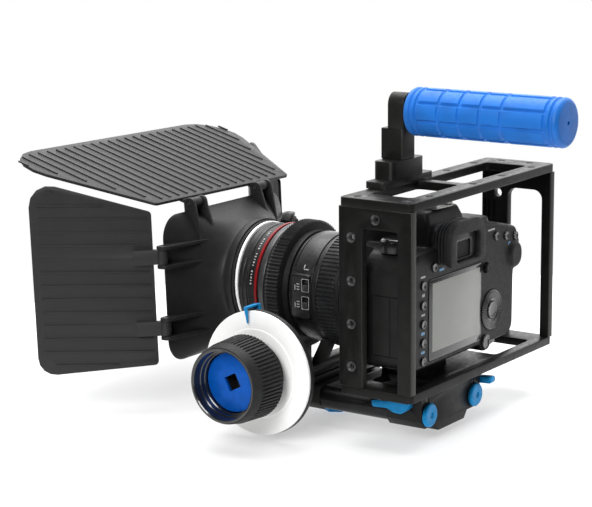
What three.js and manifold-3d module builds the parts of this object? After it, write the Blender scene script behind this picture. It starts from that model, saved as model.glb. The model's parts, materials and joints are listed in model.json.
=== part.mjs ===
// Camera cage rig: a cage with a top handle, a stills camera and lens, 15 mm rods,
// a follow focus and a clamp-on matte box with three flags. Millimetres, +Z up.
//
// Parts are placed in the cage's own frame: X = 0 on the lens axis, Y = 0 at the cage's
// rear face with the lens pointing to -Y, Z = 0 at the cage's underside. The outermost
// group moves the origin to the middle of the tripod face under the rod block.

import * as THREE from 'three';
import { mergeVertices } from 'three/addons/utils/BufferGeometryUtils.js';
import Module from 'manifold-3d';

const wasm = await Module();
wasm.setup();

// ---------------------------------------------------------------- driving dimensions
const GAP = 0.3;                       // running gap between pieces that move or nest

const CAGE_LEFT = 66;                  // outer faces, operator's left is +X
const CAGE_RIGHT = -126;
const CAGE_DEPTH = 54.7;
const CAGE_HEIGHT = 129.6;
const TOP_THICK = 5.7;
const BOTTOM_THICK = 5.5;
const SIDE_THICK = 6;
const RAIL_FRONT = -43;                // windows of the top and bottom plates, in Y
const RAIL_REAR = -12;
const BOTTOM_RAIL_REAR = -8;
const SIDE_WINDOW_TOP = 110.4;

const ROD_RADIUS = 7.5;                // 15 mm rods, 60 mm apart
const ROD_X = 30;
const ROD_Z = -16.4;
const ROD_LENGTH = 150;
const BLOCK_FRONT = -36;
const BLOCK_REAR = -9;
const BLOCK_BOTTOM = -30;
const LEVER_PIVOT = { y: -22, z: -6.5 };
const BLOCK_HALF = 38;

const HANDLE_Z = 178;                  // axis of the grip
const HANDLE_MID_Y = -50;              // middle of the blocks that carry it
const GRIP_RADIUS = 16;
const GRIP_FRONT = -38;
const GRIP_REAR = 74;
const CORE_RADIUS = 7.5;

const CAMERA_REAR = -8;
const CAMERA_FRONT = -58;
const CAMERA_FLOOR = 16;               // the camera stands on a pedestal in the cage
const CAMERA_SCREW_Y = -30;
const SHOULDER = 92;
const PRISM_TOP = 116;
const SCREEN = { x: -2.4, z: 47, width: 68, height: 54 };
const DIAL = { x: -51.4, z: 38.4, radius: 14, set: 6 };
const BUTTON_RADIUS = 3;
const BUTTON_TRAVEL = 0.7;

const LENS_Z = 53;
const TUBE_RADIUS = 31.7;              // fixed inner tube that the lens rings turn on
const MODULE = 0.8;                    // follow focus teeth
const RING_TEETH = 108;
const DRIVE_TEETH = 48;
const BACKLASH = 0.4;

const HOOD_Y = -163;                   // middle of the matte box's clamp ring
const HOOD_TILT = 2.2 * Math.PI / 180; // the box hangs a little nose down on the lens
const HOOD_WIDTH = 140;
const HOOD_HEIGHT = 102.5;
const HOOD_FRONT = -31;                // in the tilted frame of the clamp ring
const HOOD_WALL = 2.4;
const EAR_SPREAD = 6.5;                // each bracket: two ears either side of a knuckle
const EAR_THICK = 2.5;
const TOP_EARS = 38.5;
const SIDE_EARS = 24.7;
const TOP_HINGE = { y: -25.8, z: 57 };
const SIDE_HINGE = { x: 74.5, y: -28 };
const KNUCKLE_RADIUS = 3.6;
const FLAG_THICK = 2;
const RIB_PITCH = 9.2;
const RIB_HEIGHT = 0.8;
const TOP_FLAG_LIFT = 15 * Math.PI / 180;
const TOP_FLAG_SKEW = -1.6 * Math.PI / 180; // play in the brackets turns the plate a little
const SIDE_FLAG_SPREAD = 37.9 * Math.PI / 180;

const WHEEL = { y: -104.9, z: 10.9 };  // axis of the follow focus hand wheel
const DISC_RADIUS = 41.5;
const DISC_X = 88;
const KNOB_REAR = 97;
const KNOB_FRONT = 126;
const ARM = { y0: -110, y1: -95, z0: -7.5, z1: 5.3 };

// ---------------------------------------------------------------- finishes
const finish = (color, roughness, metalness) =>
  new THREE.MeshStandardMaterial({ color, roughness, metalness });

const ANODISED = finish(0x1b1c1e, 0.45, 0.8);
const BLUE_METAL = finish(0x2f8fd0, 0.35, 0.6);
const BLUE_RUBBER = finish(0x2b6bd2, 0.6, 0);
const BLACK_PLASTIC = finish(0x202123, 0.6, 0);
const CAMERA_BLACK = finish(0x1c1c1d, 0.7, 0);
const RUBBER = finish(0x151516, 0.85, 0);
const WHITE_PLASTIC = finish(0xf2f2f0, 0.4, 0);
const SCREEN_GREY = finish(0xb9bdbb, 0.15, 0);
const RED_LINE = finish(0xb3262a, 0.4, 0);
const GLASS = finish(0x20262c, 0.05, 0);
const STEEL = finish(0x9a9c9e, 0.35, 0.9);

// ---------------------------------------------------------------- solids
const AXES = {
  x: new THREE.Matrix4().makeBasis(
    new THREE.Vector3(0, 1, 0), new THREE.Vector3(0, 0, 1), new THREE.Vector3(1, 0, 0)),
  y: new THREE.Matrix4().makeBasis(
    new THREE.Vector3(1, 0, 0), new THREE.Vector3(0, 0, 1), new THREE.Vector3(0, 1, 0)),
  z: new THREE.Matrix4(),
};
const SPINS = {
  x: new THREE.Matrix4().makeBasis(
    new THREE.Vector3(0, 1, 0), new THREE.Vector3(1, 0, 0), new THREE.Vector3(0, 0, 1)),
  y: new THREE.Matrix4(),
  z: new THREE.Matrix4().makeBasis(
    new THREE.Vector3(1, 0, 0), new THREE.Vector3(0, 0, 1), new THREE.Vector3(0, 1, 0)),
};

// A closed geometry as a manifold solid, faces out, without the zero-area faces at a pole.
function solid(geometry) {
  const bare = geometry.clone();
  bare.deleteAttribute('normal');
  bare.deleteAttribute('uv');
  const merged = mergeVertices(bare, 1e-4);
  const at = merged.attributes.position.array;
  const corner = (i) => new THREE.Vector3(at[3 * i], at[3 * i + 1], at[3 * i + 2]);
  const triangles = [];
  let volume = 0;
  for (let i = 0; i < merged.index.count; i += 3) {
    const [a, b, c] = [0, 1, 2].map((k) => merged.index.getX(i + k));
    if (a === b || b === c || c === a) continue;
    triangles.push(a, b, c);
    volume += corner(a).dot(corner(b).cross(corner(c)));
  }
  if (volume < 0) triangles.reverse();
  const mesh = new wasm.Mesh({
    numProp: 3,
    vertProperties: Float32Array.from(at),
    triVerts: Uint32Array.from(triangles),
  });
  return new wasm.Manifold(mesh);
}

// Joins the geometries in `parts`, then takes away those in `cuts`.
function build(parts, cuts = []) {
  let whole = solid(parts[0]);
  for (const part of parts.slice(1)) whole = whole.add(solid(part));
  for (const cut of cuts) whole = whole.subtract(solid(cut));
  const mesh = whole.getMesh();
  const geometry = new THREE.BufferGeometry();
  const positions = new THREE.BufferAttribute(Float32Array.from(mesh.vertProperties), 3);
  geometry.setAttribute('position', positions);
  geometry.setIndex(Array.from(mesh.triVerts));
  geometry.computeVertexNormals();
  return geometry;
}

// ---------------------------------------------------------------- outlines
function circle(radius, sides, cx = 0, cy = 0) {
  const points = [];
  for (let i = 0; i < sides; i++) {
    const angle = 2 * Math.PI * (i + 0.5) / sides;
    points.push(new THREE.Vector2(cx + radius * Math.cos(angle), cy + radius * Math.sin(angle)));
  }
  return points;
}

// A polygon whose corners [x, y, radius] are rounded by true arcs.
function rounded(corners, steps = 3) {
  const points = [];
  corners.forEach(([x, y, radius = 0], i) => {
    const here = new THREE.Vector2(x, y);
    const toward = (j) => {
      const [nx, ny] = corners[(j + corners.length) % corners.length];
      return new THREE.Vector2(nx, ny).sub(here).normalize();
    };
    const back = toward(i - 1);
    const ahead = toward(i + 1);
    if (radius === 0) {
      points.push(here);
      return;
    }
    const half = Math.acos(THREE.MathUtils.clamp(back.dot(ahead), -1, 1)) / 2;
    const start = here.clone().addScaledVector(back, radius / Math.tan(half));
    const end = here.clone().addScaledVector(ahead, radius / Math.tan(half));
    const bisector = back.clone().add(ahead).normalize();
    const centre = here.clone().addScaledVector(bisector, radius / Math.sin(half));
    const from = start.clone().sub(centre).angle();
    let sweep = end.clone().sub(centre).angle() - from;
    if (sweep > Math.PI) sweep -= 2 * Math.PI;
    if (sweep < -Math.PI) sweep += 2 * Math.PI;
    for (let k = 0; k <= steps; k++) {
      const angle = from + sweep * k / steps;
      const spoke = new THREE.Vector2(Math.cos(angle), Math.sin(angle));
      points.push(centre.clone().addScaledVector(spoke, radius));
    }
  });
  return points;
}

const rectangle = (u0, u1, v0, v1, radius = 0, steps = 3) =>
  rounded([[u0, v0, radius], [u1, v0, radius], [u1, v1, radius], [u0, v1, radius]], steps);

// V-shaped teeth: one point at each tip and one at each root.
function toothed(teeth, radius, phase) {
  const points = [];
  for (let i = 0; i < 2 * teeth; i++) {
    const angle = phase + Math.PI * i / teeth;
    const reach = i % 2 === 0 ? radius + MODULE : radius - MODULE;
    points.push(new THREE.Vector2(reach * Math.cos(angle), reach * Math.sin(angle)));
  }
  return points;
}

// ---------------------------------------------------------------- solids from outlines
// The outline's two coordinates are the other two axes in X, Y, Z order.
function extrude(axis, points, from, to, holes = []) {
  const shape = new THREE.Shape(points);
  for (const hole of holes) shape.holes.push(new THREE.Path(hole));
  const geometry = new THREE.ExtrudeGeometry(shape, { depth: to - from, bevelEnabled: false });
  geometry.translate(0, 0, from);
  return geometry.applyMatrix4(AXES[axis]);
}

const box = (x0, x1, y0, y1, z0, z1) => extrude('z', rectangle(x0, x1, y0, y1), z0, z1);

const rod = (axis, radius, sides, u, v, from, to) =>
  extrude(axis, circle(radius, sides, u, v), from, to);

// A turned piece: profile points are [radius, distance along the axis].
function turned(axis, profile, sides, x, y, z) {
  const points = profile.map(([radius, along]) => new THREE.Vector2(radius, along));
  const closed = profile[0][0] === 0 ? points : [...points, points[0].clone()];
  const geometry = new THREE.LatheGeometry(closed, sides);
  return geometry.applyMatrix4(SPINS[axis]).translate(x, y, z);
}

const mirrored = (geometry) => geometry.applyMatrix4(new THREE.Matrix4().makeScale(-1, 1, 1));

// ---------------------------------------------------------------- scene
const rig = new THREE.Group();
rig.position.set(0, -(BLOCK_FRONT + BLOCK_REAR) / 2, -BLOCK_BOTTOM);
const assembly = new THREE.Group();
assembly.add(rig);

function piece(name, geometry, material, parent = rig) {
  const mesh = new THREE.Mesh(geometry, material);
  mesh.name = name;
  parent.add(mesh);
  return mesh;
}

// ---------------------------------------------------------------- cage
function cagePlates() {
  const outline = rectangle(CAGE_RIGHT, CAGE_LEFT, -CAGE_DEPTH, 0, 4);
  const screwHoles = (places) => places.map(([x, y]) => circle(1.7, 8, x, y));
  const window = (x0, x1, rear) => rectangle(x0, x1, RAIL_FRONT, rear, 3, 2);

  const topHoles = [[58, -45], [58, -8], [35, -6], [-21, -6], [-60, -6], [-102, -6],
    [-118, -16], [-118, -38], [-98, -49], [-60, -49]];
  const top = extrude('z', outline, CAGE_HEIGHT - TOP_THICK, CAGE_HEIGHT,
    [window(-12.5, 46, RAIL_REAR), window(-106, -21, RAIL_REAR), ...screwHoles(topHoles)]);
  piece('cage_top_plate', build([top]), ANODISED);

  const screwSeat = rod('z', 6.3, 16, 0, CAMERA_SCREW_Y, -1, 3.6);
  const screwHole = rod('z', 3.4, 12, 0, CAMERA_SCREW_Y, 1, CAMERA_FLOOR + 1);
  const bottom = extrude('z', outline, 0, BOTTOM_THICK,
    [window(-106, -58, BOTTOM_RAIL_REAR), window(24, 46, BOTTOM_RAIL_REAR)]);
  const pedestal = extrude('z', rectangle(-22, 22, -51, -25, 3), BOTTOM_THICK - 1, CAMERA_FLOOR);
  piece('cage_bottom_plate', build([bottom, pedestal], [screwSeat, screwHole]), ANODISED);

  const side = (front, rear, radius) => rounded([
    [-CAGE_DEPTH, BOTTOM_THICK], [front, BOTTOM_THICK], [front, SIDE_WINDOW_TOP, radius],
    [rear, SIDE_WINDOW_TOP, radius], [rear, BOTTOM_THICK], [0, BOTTOM_THICK],
    [0, CAGE_HEIGHT - TOP_THICK], [-CAGE_DEPTH, CAGE_HEIGHT - TOP_THICK]]);
  const leftHoles = [[-45.2, 104], [-45.2, 75.6], [-45.2, 47.3], [-45.2, 19], [-27, 117]];
  const left = extrude('x', side(-37, -10.5, 2), CAGE_LEFT - SIDE_THICK, CAGE_LEFT,
    leftHoles.map(([y, z]) => circle(2.6, 10, y, z)));
  piece('cage_left_plate', build([left]), ANODISED);

  const inner = CAGE_RIGHT + SIDE_THICK;
  const right = extrude('x', side(-34, -7, 6.5), CAGE_RIGHT, inner, [circle(3, 12, -42, 106)]);
  const grooves = [[-52.5, -51], [-49.5, -48], [-45.5, -37.5]].map(([y0, y1]) =>
    box(inner - 0.8, inner + 1, y0, y1, 0, 101));
  piece('cage_right_plate', build([right], grooves), ANODISED);
}

function cameraScrew() {
  const tip = CAMERA_FLOOR + 5;
  const profile = [[0, GAP], [6, GAP], [6, 3.3], [3.1, 3.3], [3.1, tip], [0, tip]];
  piece('camera_screw', build([turned('z', profile, 16, 0, CAMERA_SCREW_Y, 0)]), STEEL);
}

// ---------------------------------------------------------------- handle
function handle() {
  const foot = CAGE_HEIGHT;
  const flange = extrude('z', rectangle(-31, 31, -57.5, -42, 3), foot, foot + 4.6);
  const lower = extrude('z', rectangle(-19.5, 19.5, -58.4, -42, 4), foot + 4.6, foot + 16.4);
  piece('handle_base', build([flange, lower]), ANODISED);

  const riserTop = foot + 37;
  const riser = extrude('z', rectangle(-7.9, 7.9, HANDLE_MID_Y - 9.7, HANDLE_MID_Y + 7.7, 1, 1),
    foot + 16.4, riserTop);
  piece('handle_riser', build([riser]), ANODISED);

  const postOutline = rounded([[-7.9, riserTop], [7.9, riserTop], [7.9, 190, 7.7], [-7.9, 190, 7.7]], 5);
  const post = extrude('y', postOutline, HANDLE_MID_Y - 4, HANDLE_MID_Y + 8);
  const core = rod('y', CORE_RADIUS, 20, 0, HANDLE_Z, HANDLE_MID_Y + 2, GRIP_REAR - 4);
  piece('handle_core', build([post, core]), ANODISED);

  const bore = CORE_RADIUS + GAP;
  const grip = turned('y', [
    [bore, GRIP_FRONT], [14.6, GRIP_FRONT], [GRIP_RADIUS, GRIP_FRONT + 1.5],
    [GRIP_RADIUS, GRIP_REAR - 2], [14, GRIP_REAR], [1.3, GRIP_REAR],
    [1.3, GRIP_REAR - 3.5], [bore, GRIP_REAR - 3.5]], 32, 0, 0, HANDLE_Z);
  piece('handle_grip', build([grip]), BLUE_RUBBER);
}

// ---------------------------------------------------------------- rods and their block
function rodBlock() {
  const clampBottom = -25;
  const outline = rounded([
    [-BLOCK_HALF, 0], [-BLOCK_HALF, -20], [-34, clampBottom], [-21, clampBottom],
    [-17, BLOCK_BOTTOM, 1.5], [17, BLOCK_BOTTOM, 1.5], [21, clampBottom], [34, clampBottom],
    [BLOCK_HALF, -20], [BLOCK_HALF, 0]], 2);
  const cuts = [
    rod('z', 4.6, 14, 0, -29.5, BLOCK_BOTTOM - 1, BLOCK_BOTTOM + 9),
    rod('z', 3, 12, 0, -15, BLOCK_BOTTOM - 1, BLOCK_BOTTOM + 9),
  ];
  for (const side of [-1, 1]) {
    const x = side * ROD_X;
    cuts.push(rod('y', ROD_RADIUS + 0.15, 24, x, ROD_Z, BLOCK_FRONT - 1, BLOCK_REAR + 1));
    cuts.push(box(x - 0.6, x + 0.6, BLOCK_FRONT - 1, BLOCK_REAR + 1, ROD_Z, 1));
    const ends = [side * 23, side * (BLOCK_HALF + 1)].sort((a, b) => a - b);
    cuts.push(rod('x', 2.1, 10, LEVER_PIVOT.y, LEVER_PIVOT.z, ends[0], ends[1]));
  }
  piece('rail_block', build([extrude('y', outline, BLOCK_FRONT, BLOCK_REAR)], cuts), ANODISED);
}

function rods() {
  const bore = ROD_RADIUS - 2;
  for (const [side, x] of [['left', ROD_X], ['right', -ROD_X]]) {
    const tube = [[bore, -ROD_LENGTH], [ROD_RADIUS, -ROD_LENGTH], [ROD_RADIUS, 0], [bore, 0]];
    piece(`rod_${side}`, build([turned('y', tube, 24, x, BLOCK_REAR, ROD_Z)]), ANODISED);
    const cap = [[0, -9], [bore - GAP, -9], [bore - GAP, GAP], [8, GAP], [8, 1.9], [6.8, 2.8], [0, 3]];
    piece(`rod_cap_${side}`, build([turned('y', cap, 24, x, BLOCK_REAR, ROD_Z)]), BLUE_METAL);
  }
}

// The clamp levers turn about X on a stub pin that crosses the slit of each rod clamp.
function clampLevers() {
  const { y, z } = LEVER_PIVOT;
  const outline = (sign) => rounded([
    [7, 0, 2], [6, -4, 2], [1, -8, 3], [-5, -7.6, 2], [-10, -5.4, 3], [-21, -6, 1.5], [-22, -1.4, 1.5],
    [-9, -0.6, 2], [-4, 3, 3], [5, 3.4, 2]].map(([dy, dz, r]) => [sign * dy, dz, r]), 2);
  for (const [side, sign] of [['left', 1], ['right', -1]]) {
    const inner = BLOCK_HALF + 0.4;
    const blade = extrude('x', outline(sign), inner, inner + 6);
    const pin = rod('x', 1.8, 10, 0, 0, 25, inner + 1);
    const geometry = build([blade, pin]);
    const lever = piece(`block_lever_${side}`,
      sign > 0 ? geometry : build([mirrored(geometry)]), BLUE_METAL);
    lever.position.set(0, y, z);
    lever.rotation.x = sign > 0 ? 0 : 0.12;
  }
}

// ---------------------------------------------------------------- camera
const THUMB_BUTTONS = [[-57, 88.5], [-71, 86.5], [-84, 84.5]];
const MENU_BUTTONS = [[38.5, 71.6], [38.5, 58.6], [38.5, 46.1], [38.5, 33.7], [38.5, 21.4]];
const TOP_LEFT_BUTTON = [25, 81.5];
const REAR_BUTTONS = [...MENU_BUTTONS, TOP_LEFT_BUTTON, ...THUMB_BUTTONS];
const JOYSTICK = [-43.5, 69];
const POWER_SWITCH = [-43, 17.6];
const MODE_DIAL = { x: 40, y: -28, radius: 10 };
const EYEPIECE = { z0: 84.5, z1: 96, half: 8.6 };
const SHUTTER = { x: -84, y: -71, top: 88 };

function cameraBody() {
  const front = rounded([
    [53, CAMERA_FLOOR, 6], [53, SHOULDER, 7], [28, SHOULDER, 3], [20.5, PRISM_TOP, 5],
    [-20.5, PRISM_TOP, 5], [-29, 103, 4], [-60, 97.5, 20], [-86, 91, 6],
    [-92.5, 79, 8], [-83, 61, 10], [-82.5, CAMERA_FLOOR, 8]], 3);
  const main = extrude('y', front, CAMERA_FRONT, CAMERA_REAR);
  const gripOutline = rounded([
    [-82, -40], [-91, -52, 8], [-95, -78, 11], [-86, -83, 8], [-68, -81, 8], [-60, -50]], 3);
  const grip = extrude('z', gripOutline, CAMERA_FLOOR, SHUTTER.top);
  const mount = rod('y', 35, 32, 0, LENS_Z, -65, CAMERA_FRONT + 1);
  const brow = extrude('x', rounded([
    [-56, 88], [-65, 90, 3], [-67, 112, 4], [-60, PRISM_TOP - 1, 4], [-50, PRISM_TOP - 1]], 2), -18, 18);
  const eyepiece = extrude('y', rectangle(-21, 21, 80, 108, 8), CAMERA_REAR - 2, -1);
  const switchBoss = rod('y', 6.2, 20, ...POWER_SWITCH, -30, CAMERA_REAR);

  const { x, z, width, height } = SCREEN;
  const cuts = [
    box(x - width / 2 - GAP, x + width / 2 + GAP, CAMERA_REAR - 1.6, 1,
      z - height / 2 - GAP, z + height / 2 + GAP),
    rod('y', DIAL.radius + 0.4, 28, DIAL.x, DIAL.z, CAMERA_REAR - 1.6, 1),
    rod('z', 3.4, 12, 0, CAMERA_SCREW_Y, 0, CAMERA_FLOOR + 6),
    extrude('z', rounded([[54, -43], [36, -43, 6], [36, -59], [54, -59]]), 0, SHOULDER + 1),
    box(-60, 60, -14, 0, 108.5, PRISM_TOP + 1),
    extrude('y', rectangle(-EYEPIECE.half, EYEPIECE.half, EYEPIECE.z0, EYEPIECE.z1, 1.5), -6, 1),
    rod('y', 3.9, 12, ...JOYSTICK, CAMERA_REAR - 2, 1),
    rod('z', 6, 16, SHUTTER.x, SHUTTER.y, SHUTTER.top - 3, SHUTTER.top + 1),
  ];
  for (const [bx, bz] of REAR_BUTTONS) {
    cuts.push(rod('y', BUTTON_RADIUS + GAP, 10, bx, bz, CAMERA_REAR - 2.6, 1));
  }
  piece('camera_body', build([main, grip, mount, brow, eyepiece, switchBoss], cuts), CAMERA_BLACK);
}

function cameraControls() {
  const { x, z, width, height } = SCREEN;
  const screen = extrude('y', rectangle(x - width / 2, x + width / 2, z - height / 2, z + height / 2, 2),
    CAMERA_REAR - 1.3, CAMERA_REAR + 0.6);
  piece('camera_screen', build([screen]), SCREEN_GREY);

  const cupOutline = rounded([[-23, 80.5, 5], [23, 80.5, 5], [23, 110, 13], [-23, 110, 13]], 4);
  const cup = extrude('y', cupOutline, -0.7, 3.4, [rectangle(-15, 15, 82.7, 101, 4)]);
  piece('camera_eyecup', build([cup]), RUBBER);

  const shoe = extrude('y', [
    [-10.5, 0], [10.5, 0], [10.5, 2.8], [6.5, 2.8], [6.5, 2], [9.3, 2], [9.3, 0.8],
    [-9.3, 0.8], [-9.3, 2], [-6.5, 2], [-6.5, 2.8], [-10.5, 2.8],
  ].map(([u, v]) => new THREE.Vector2(u, PRISM_TOP + v)), -33, -15);
  piece('hot_shoe', build([shoe]), STEEL);

  const dial = rod('z', MODE_DIAL.radius, 24, MODE_DIAL.x, MODE_DIAL.y, SHOULDER + GAP, SHOULDER + 9.5);
  piece('mode_dial', build([dial]), CAMERA_BLACK);

  const wheel = turned('y', [[DIAL.set + GAP, -1.3], [DIAL.radius, -1.3], [DIAL.radius, 0.8],
    [DIAL.radius - 1, 1.4], [DIAL.set + GAP, 1.2]], 28, DIAL.x, CAMERA_REAR, DIAL.z);
  piece('rear_dial', build([wheel]), CAMERA_BLACK);
  piece('set_button', build([rod('y', DIAL.set, 16, DIAL.x, DIAL.z,
    CAMERA_REAR - 0.6, CAMERA_REAR + 1.3)]), CAMERA_BLACK);

  const [px, pz] = POWER_SWITCH;
  const hub = rod('y', 5.2, 18, px, pz, CAMERA_REAR + GAP, CAMERA_REAR + 1.6);
  const tip = box(px - 10, px, CAMERA_REAR + GAP, CAMERA_REAR + 2, pz - 2, pz + 0.6);
  piece('power_switch', build([hub, tip]), CAMERA_BLACK);

  const stick = turned('y', [[0, -1.2], [2.2, -1.2], [2.2, 0.8], [3.4, 1], [3.4, 2.4], [0, 2.8]],
    12, JOYSTICK[0], CAMERA_REAR, JOYSTICK[1]);
  piece('joystick', build([stick]), RUBBER);

  const cap = [[0, -1.8], [5.6, -1.8], [5.6, 1.2], [4.6, 2], [0, 2.2]];
  piece('shutter_button', build([turned('z', cap, 16, SHUTTER.x, SHUTTER.y, SHUTTER.top)]), CAMERA_BLACK);

  const names = ['menu_button', 'info_button', 'style_button', 'play_button', 'erase_button',
    'live_button', 'af_start_button', 'lock_button', 'zoom_button'];
  REAR_BUTTONS.forEach(([bx, bz], i) => {
    const button = turned('y', [[0, -2.6 + BUTTON_TRAVEL + 0.2], [BUTTON_RADIUS, -2.6 + BUTTON_TRAVEL + 0.2],
      [BUTTON_RADIUS, 0.7], [2.4, 1.1], [0, 1.1]], 12, bx, CAMERA_REAR, bz);
    piece(names[i], build([button]), CAMERA_BLACK);
  });
}

// ---------------------------------------------------------------- lens
const lensRing = (profile, sides = 36) => turned('y', profile, sides, 0, 0, LENS_Z);
const driveReach = (RING_TEETH + DRIVE_TEETH) * MODULE / 2 + BACKLASH;
const drop = LENS_Z - WHEEL.z;
const DRIVE_X = Math.sqrt(driveReach ** 2 - drop ** 2);
const MESH_ANGLE = Math.atan2(-drop, DRIVE_X);

function lens() {
  piece('lens_mount_barrel', build([lensRing([
    [24, -92], [TUBE_RADIUS, -92], [TUBE_RADIUS, -72.7], [34, -72.7], [34, -65.3], [24, -65.3]])]),
  CAMERA_BLACK);

  piece('zoom_ring', build([lensRing([
    [TUBE_RADIUS + GAP, -91.4], [38.4, -91.4], [39.5, -90.4], [39.5, -74], [38.4, -73],
    [TUBE_RADIUS + GAP, -73]])]), RUBBER);

  const panelOutline = rectangle(-106, -94, 39, 67, 2, 2);
  const mid = lensRing([
    [24, -133], [TUBE_RADIUS, -133], [TUBE_RADIUS, -115.3], [36, -115.3], [36, -108.5],
    [37.5, -107.5], [37.5, -92.3], [24, -92.3]]);
  const slots = [57, 45].map((z) => box(36.4, 39, -102.4, -97.6, z, z + 7.6));
  piece('lens_mid_barrel', build([mid, extrude('x', panelOutline, 30, 38)], [...slots,
    rod('y', 28, 32, 0, LENS_Z, -110, -92)]), CAMERA_BLACK);
  ['lens_switch_upper', 'lens_switch_lower'].forEach((name, i) => {
    const z = [57, 45][i] + GAP;
    piece(name, build([box(36.7, 39.4, -102.1, -97.9, z, z + 4)]), STEEL);
  });

  const pitch = RING_TEETH * MODULE / 2;
  const teeth = extrude('y', toothed(RING_TEETH, pitch, MESH_ANGLE), -132, -115.6);
  const lip = lensRing([[TUBE_RADIUS + GAP, -133], [40, -133], [40, -131], [TUBE_RADIUS + GAP, -131]]);
  const bore = rod('y', TUBE_RADIUS + GAP, 36, 0, LENS_Z, -140, -110);
  teeth.translate(0, 0, LENS_Z);
  piece('focus_gear_ring', build([teeth, lip], [bore]), BLACK_PLASTIC);

  piece('lens_front_barrel', build([lensRing([
    [32.6, -166], [36.8, -166], [36.8, -156.5], [39, -155.5], [39, -137.2], [40, -137],
    [40, -133.3], [24, -133.3], [24, -155], [32.6, -155]])]), CAMERA_BLACK);
  piece('lens_red_ring', build([lensRing([
    [39.3, -141], [40.5, -141], [40.5, -137.4], [39.3, -137.4]])]), RED_LINE);
  piece('lens_front_glass', build([lensRing([
    [0, -159.5], [16, -158.9], [32.3, -157], [32.3, -155.3], [0, -155.3]], 32)]), GLASS);
}

// ---------------------------------------------------------------- follow focus
function followFocusSupport() {
  const outline = rounded([
    [-BLOCK_HALF, -7.8], [-BLOCK_HALF, -19], [-33, -24.3], [33, -24.3],
    [BLOCK_HALF, -19], [BLOCK_HALF, -7.8]], 1);
  const cuts = [rod('z', 3.3, 12, 0, -101, -26, -13)];
  for (const x of [-ROD_X, ROD_X]) {
    cuts.push(rod('y', ROD_RADIUS + 0.15, 24, x, ROD_Z, -115, -85));
  }
  piece('ff_rod_clamp', build([extrude('y', outline, -112, -89)], cuts), ANODISED);

  const groove = box(-BLOCK_HALF - 1, 80, ARM.y1 - 2.5, ARM.y1 + 1, -2.5, 1.3);
  piece('ff_arm', build([box(-BLOCK_HALF, 74, ARM.y0, ARM.y1, ARM.z0, ARM.z1)], [groove]), ANODISED);

  const knobOutline = [];
  for (let i = 0; i < 24; i++) {
    const angle = 2 * Math.PI * i / 24;
    const reach = 8 + 0.6 * Math.cos(6 * angle);
    knobOutline.push(new THREE.Vector2(reach * Math.cos(angle), -101 + reach * Math.sin(angle)));
  }
  const head = extrude('z', knobOutline, -34, -25.2);
  piece('ff_clamp_knob', build([head, rod('z', 3, 12, 0, -101, -26, -13.5)]), BLUE_METAL);

  const bottom = ARM.z1 + GAP;
  const frame = [[29, bottom], [29, 8], [16, 22], [7, 22], [18.5, 8.4]];
  const cradle = [...frame, ...frame.map(([x, z]) => [-x, z]).reverse()];
  const saddle = extrude('y', rounded(cradle), -101, -93.5);
  piece('lens_support', build([saddle], [rod('y', 38, 48, 0, LENS_Z, -105, -90)]), ANODISED);
}

function gearbox() {
  const { y, z } = WHEEL;
  const housing = extrude('x', rectangle(-118, -91, -14, 28, 3, 2), 44, 76);
  const bearing = extrude('x', rectangle(-118, -99, -3, 24, 2, 2), 36, 60);
  const boss = rod('x', 10, 20, y, z, 74, 81.6);
  const cuts = [
    box(30, 90, ARM.y0 - GAP, ARM.y1 + GAP, ARM.z0 - GAP, ARM.z1 + GAP),
    rod('x', 4.8, 16, y, z, 50, 90),
    rod('y', 3.8, 14, DRIVE_X, z, -120, y),
    box(DRIVE_X - 5.3, DRIVE_X + 5.6, y - 5.4, y + 5.4, 5, z + 5.3),
  ];
  piece('ff_gearbox', build([housing, bearing, boss], cuts), BLACK_PLASTIC);

  // The drive gear's teeth sit in the ring's, and a bevel pair turns the drive to the wheel.
  const pitch = DRIVE_TEETH * MODULE / 2;
  const gap = Math.PI / DRIVE_TEETH;
  const teeth = extrude('y', toothed(DRIVE_TEETH, pitch, MESH_ANGLE + Math.PI + gap), -131, -119);
  teeth.translate(DRIVE_X, 0, z);
  const shaft = turned('y', [[0, -120], [3.5, -120], [3.5, y - 5], [4.6, y - 5], [2.1, y - 2.5],
    [0, y - 2.5]], 14, DRIVE_X, 0, z);
  piece('ff_drive_gear', build([teeth, shaft]), BLACK_PLASTIC);

  const flange = turned('x', [
    [0, DRIVE_X + 2.8], [2.1, DRIVE_X + 2.8], [4.5, DRIVE_X + 5.2], [4.5, 82.2], [DISC_RADIUS + 0.4, 82.2],
    [DISC_RADIUS + 0.4, DISC_X - 2.5], [0, DISC_X - 2.5]], 40, 0, y, z);
  piece('ff_wheel_flange', build([flange]), BLACK_PLASTIC);
}

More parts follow.
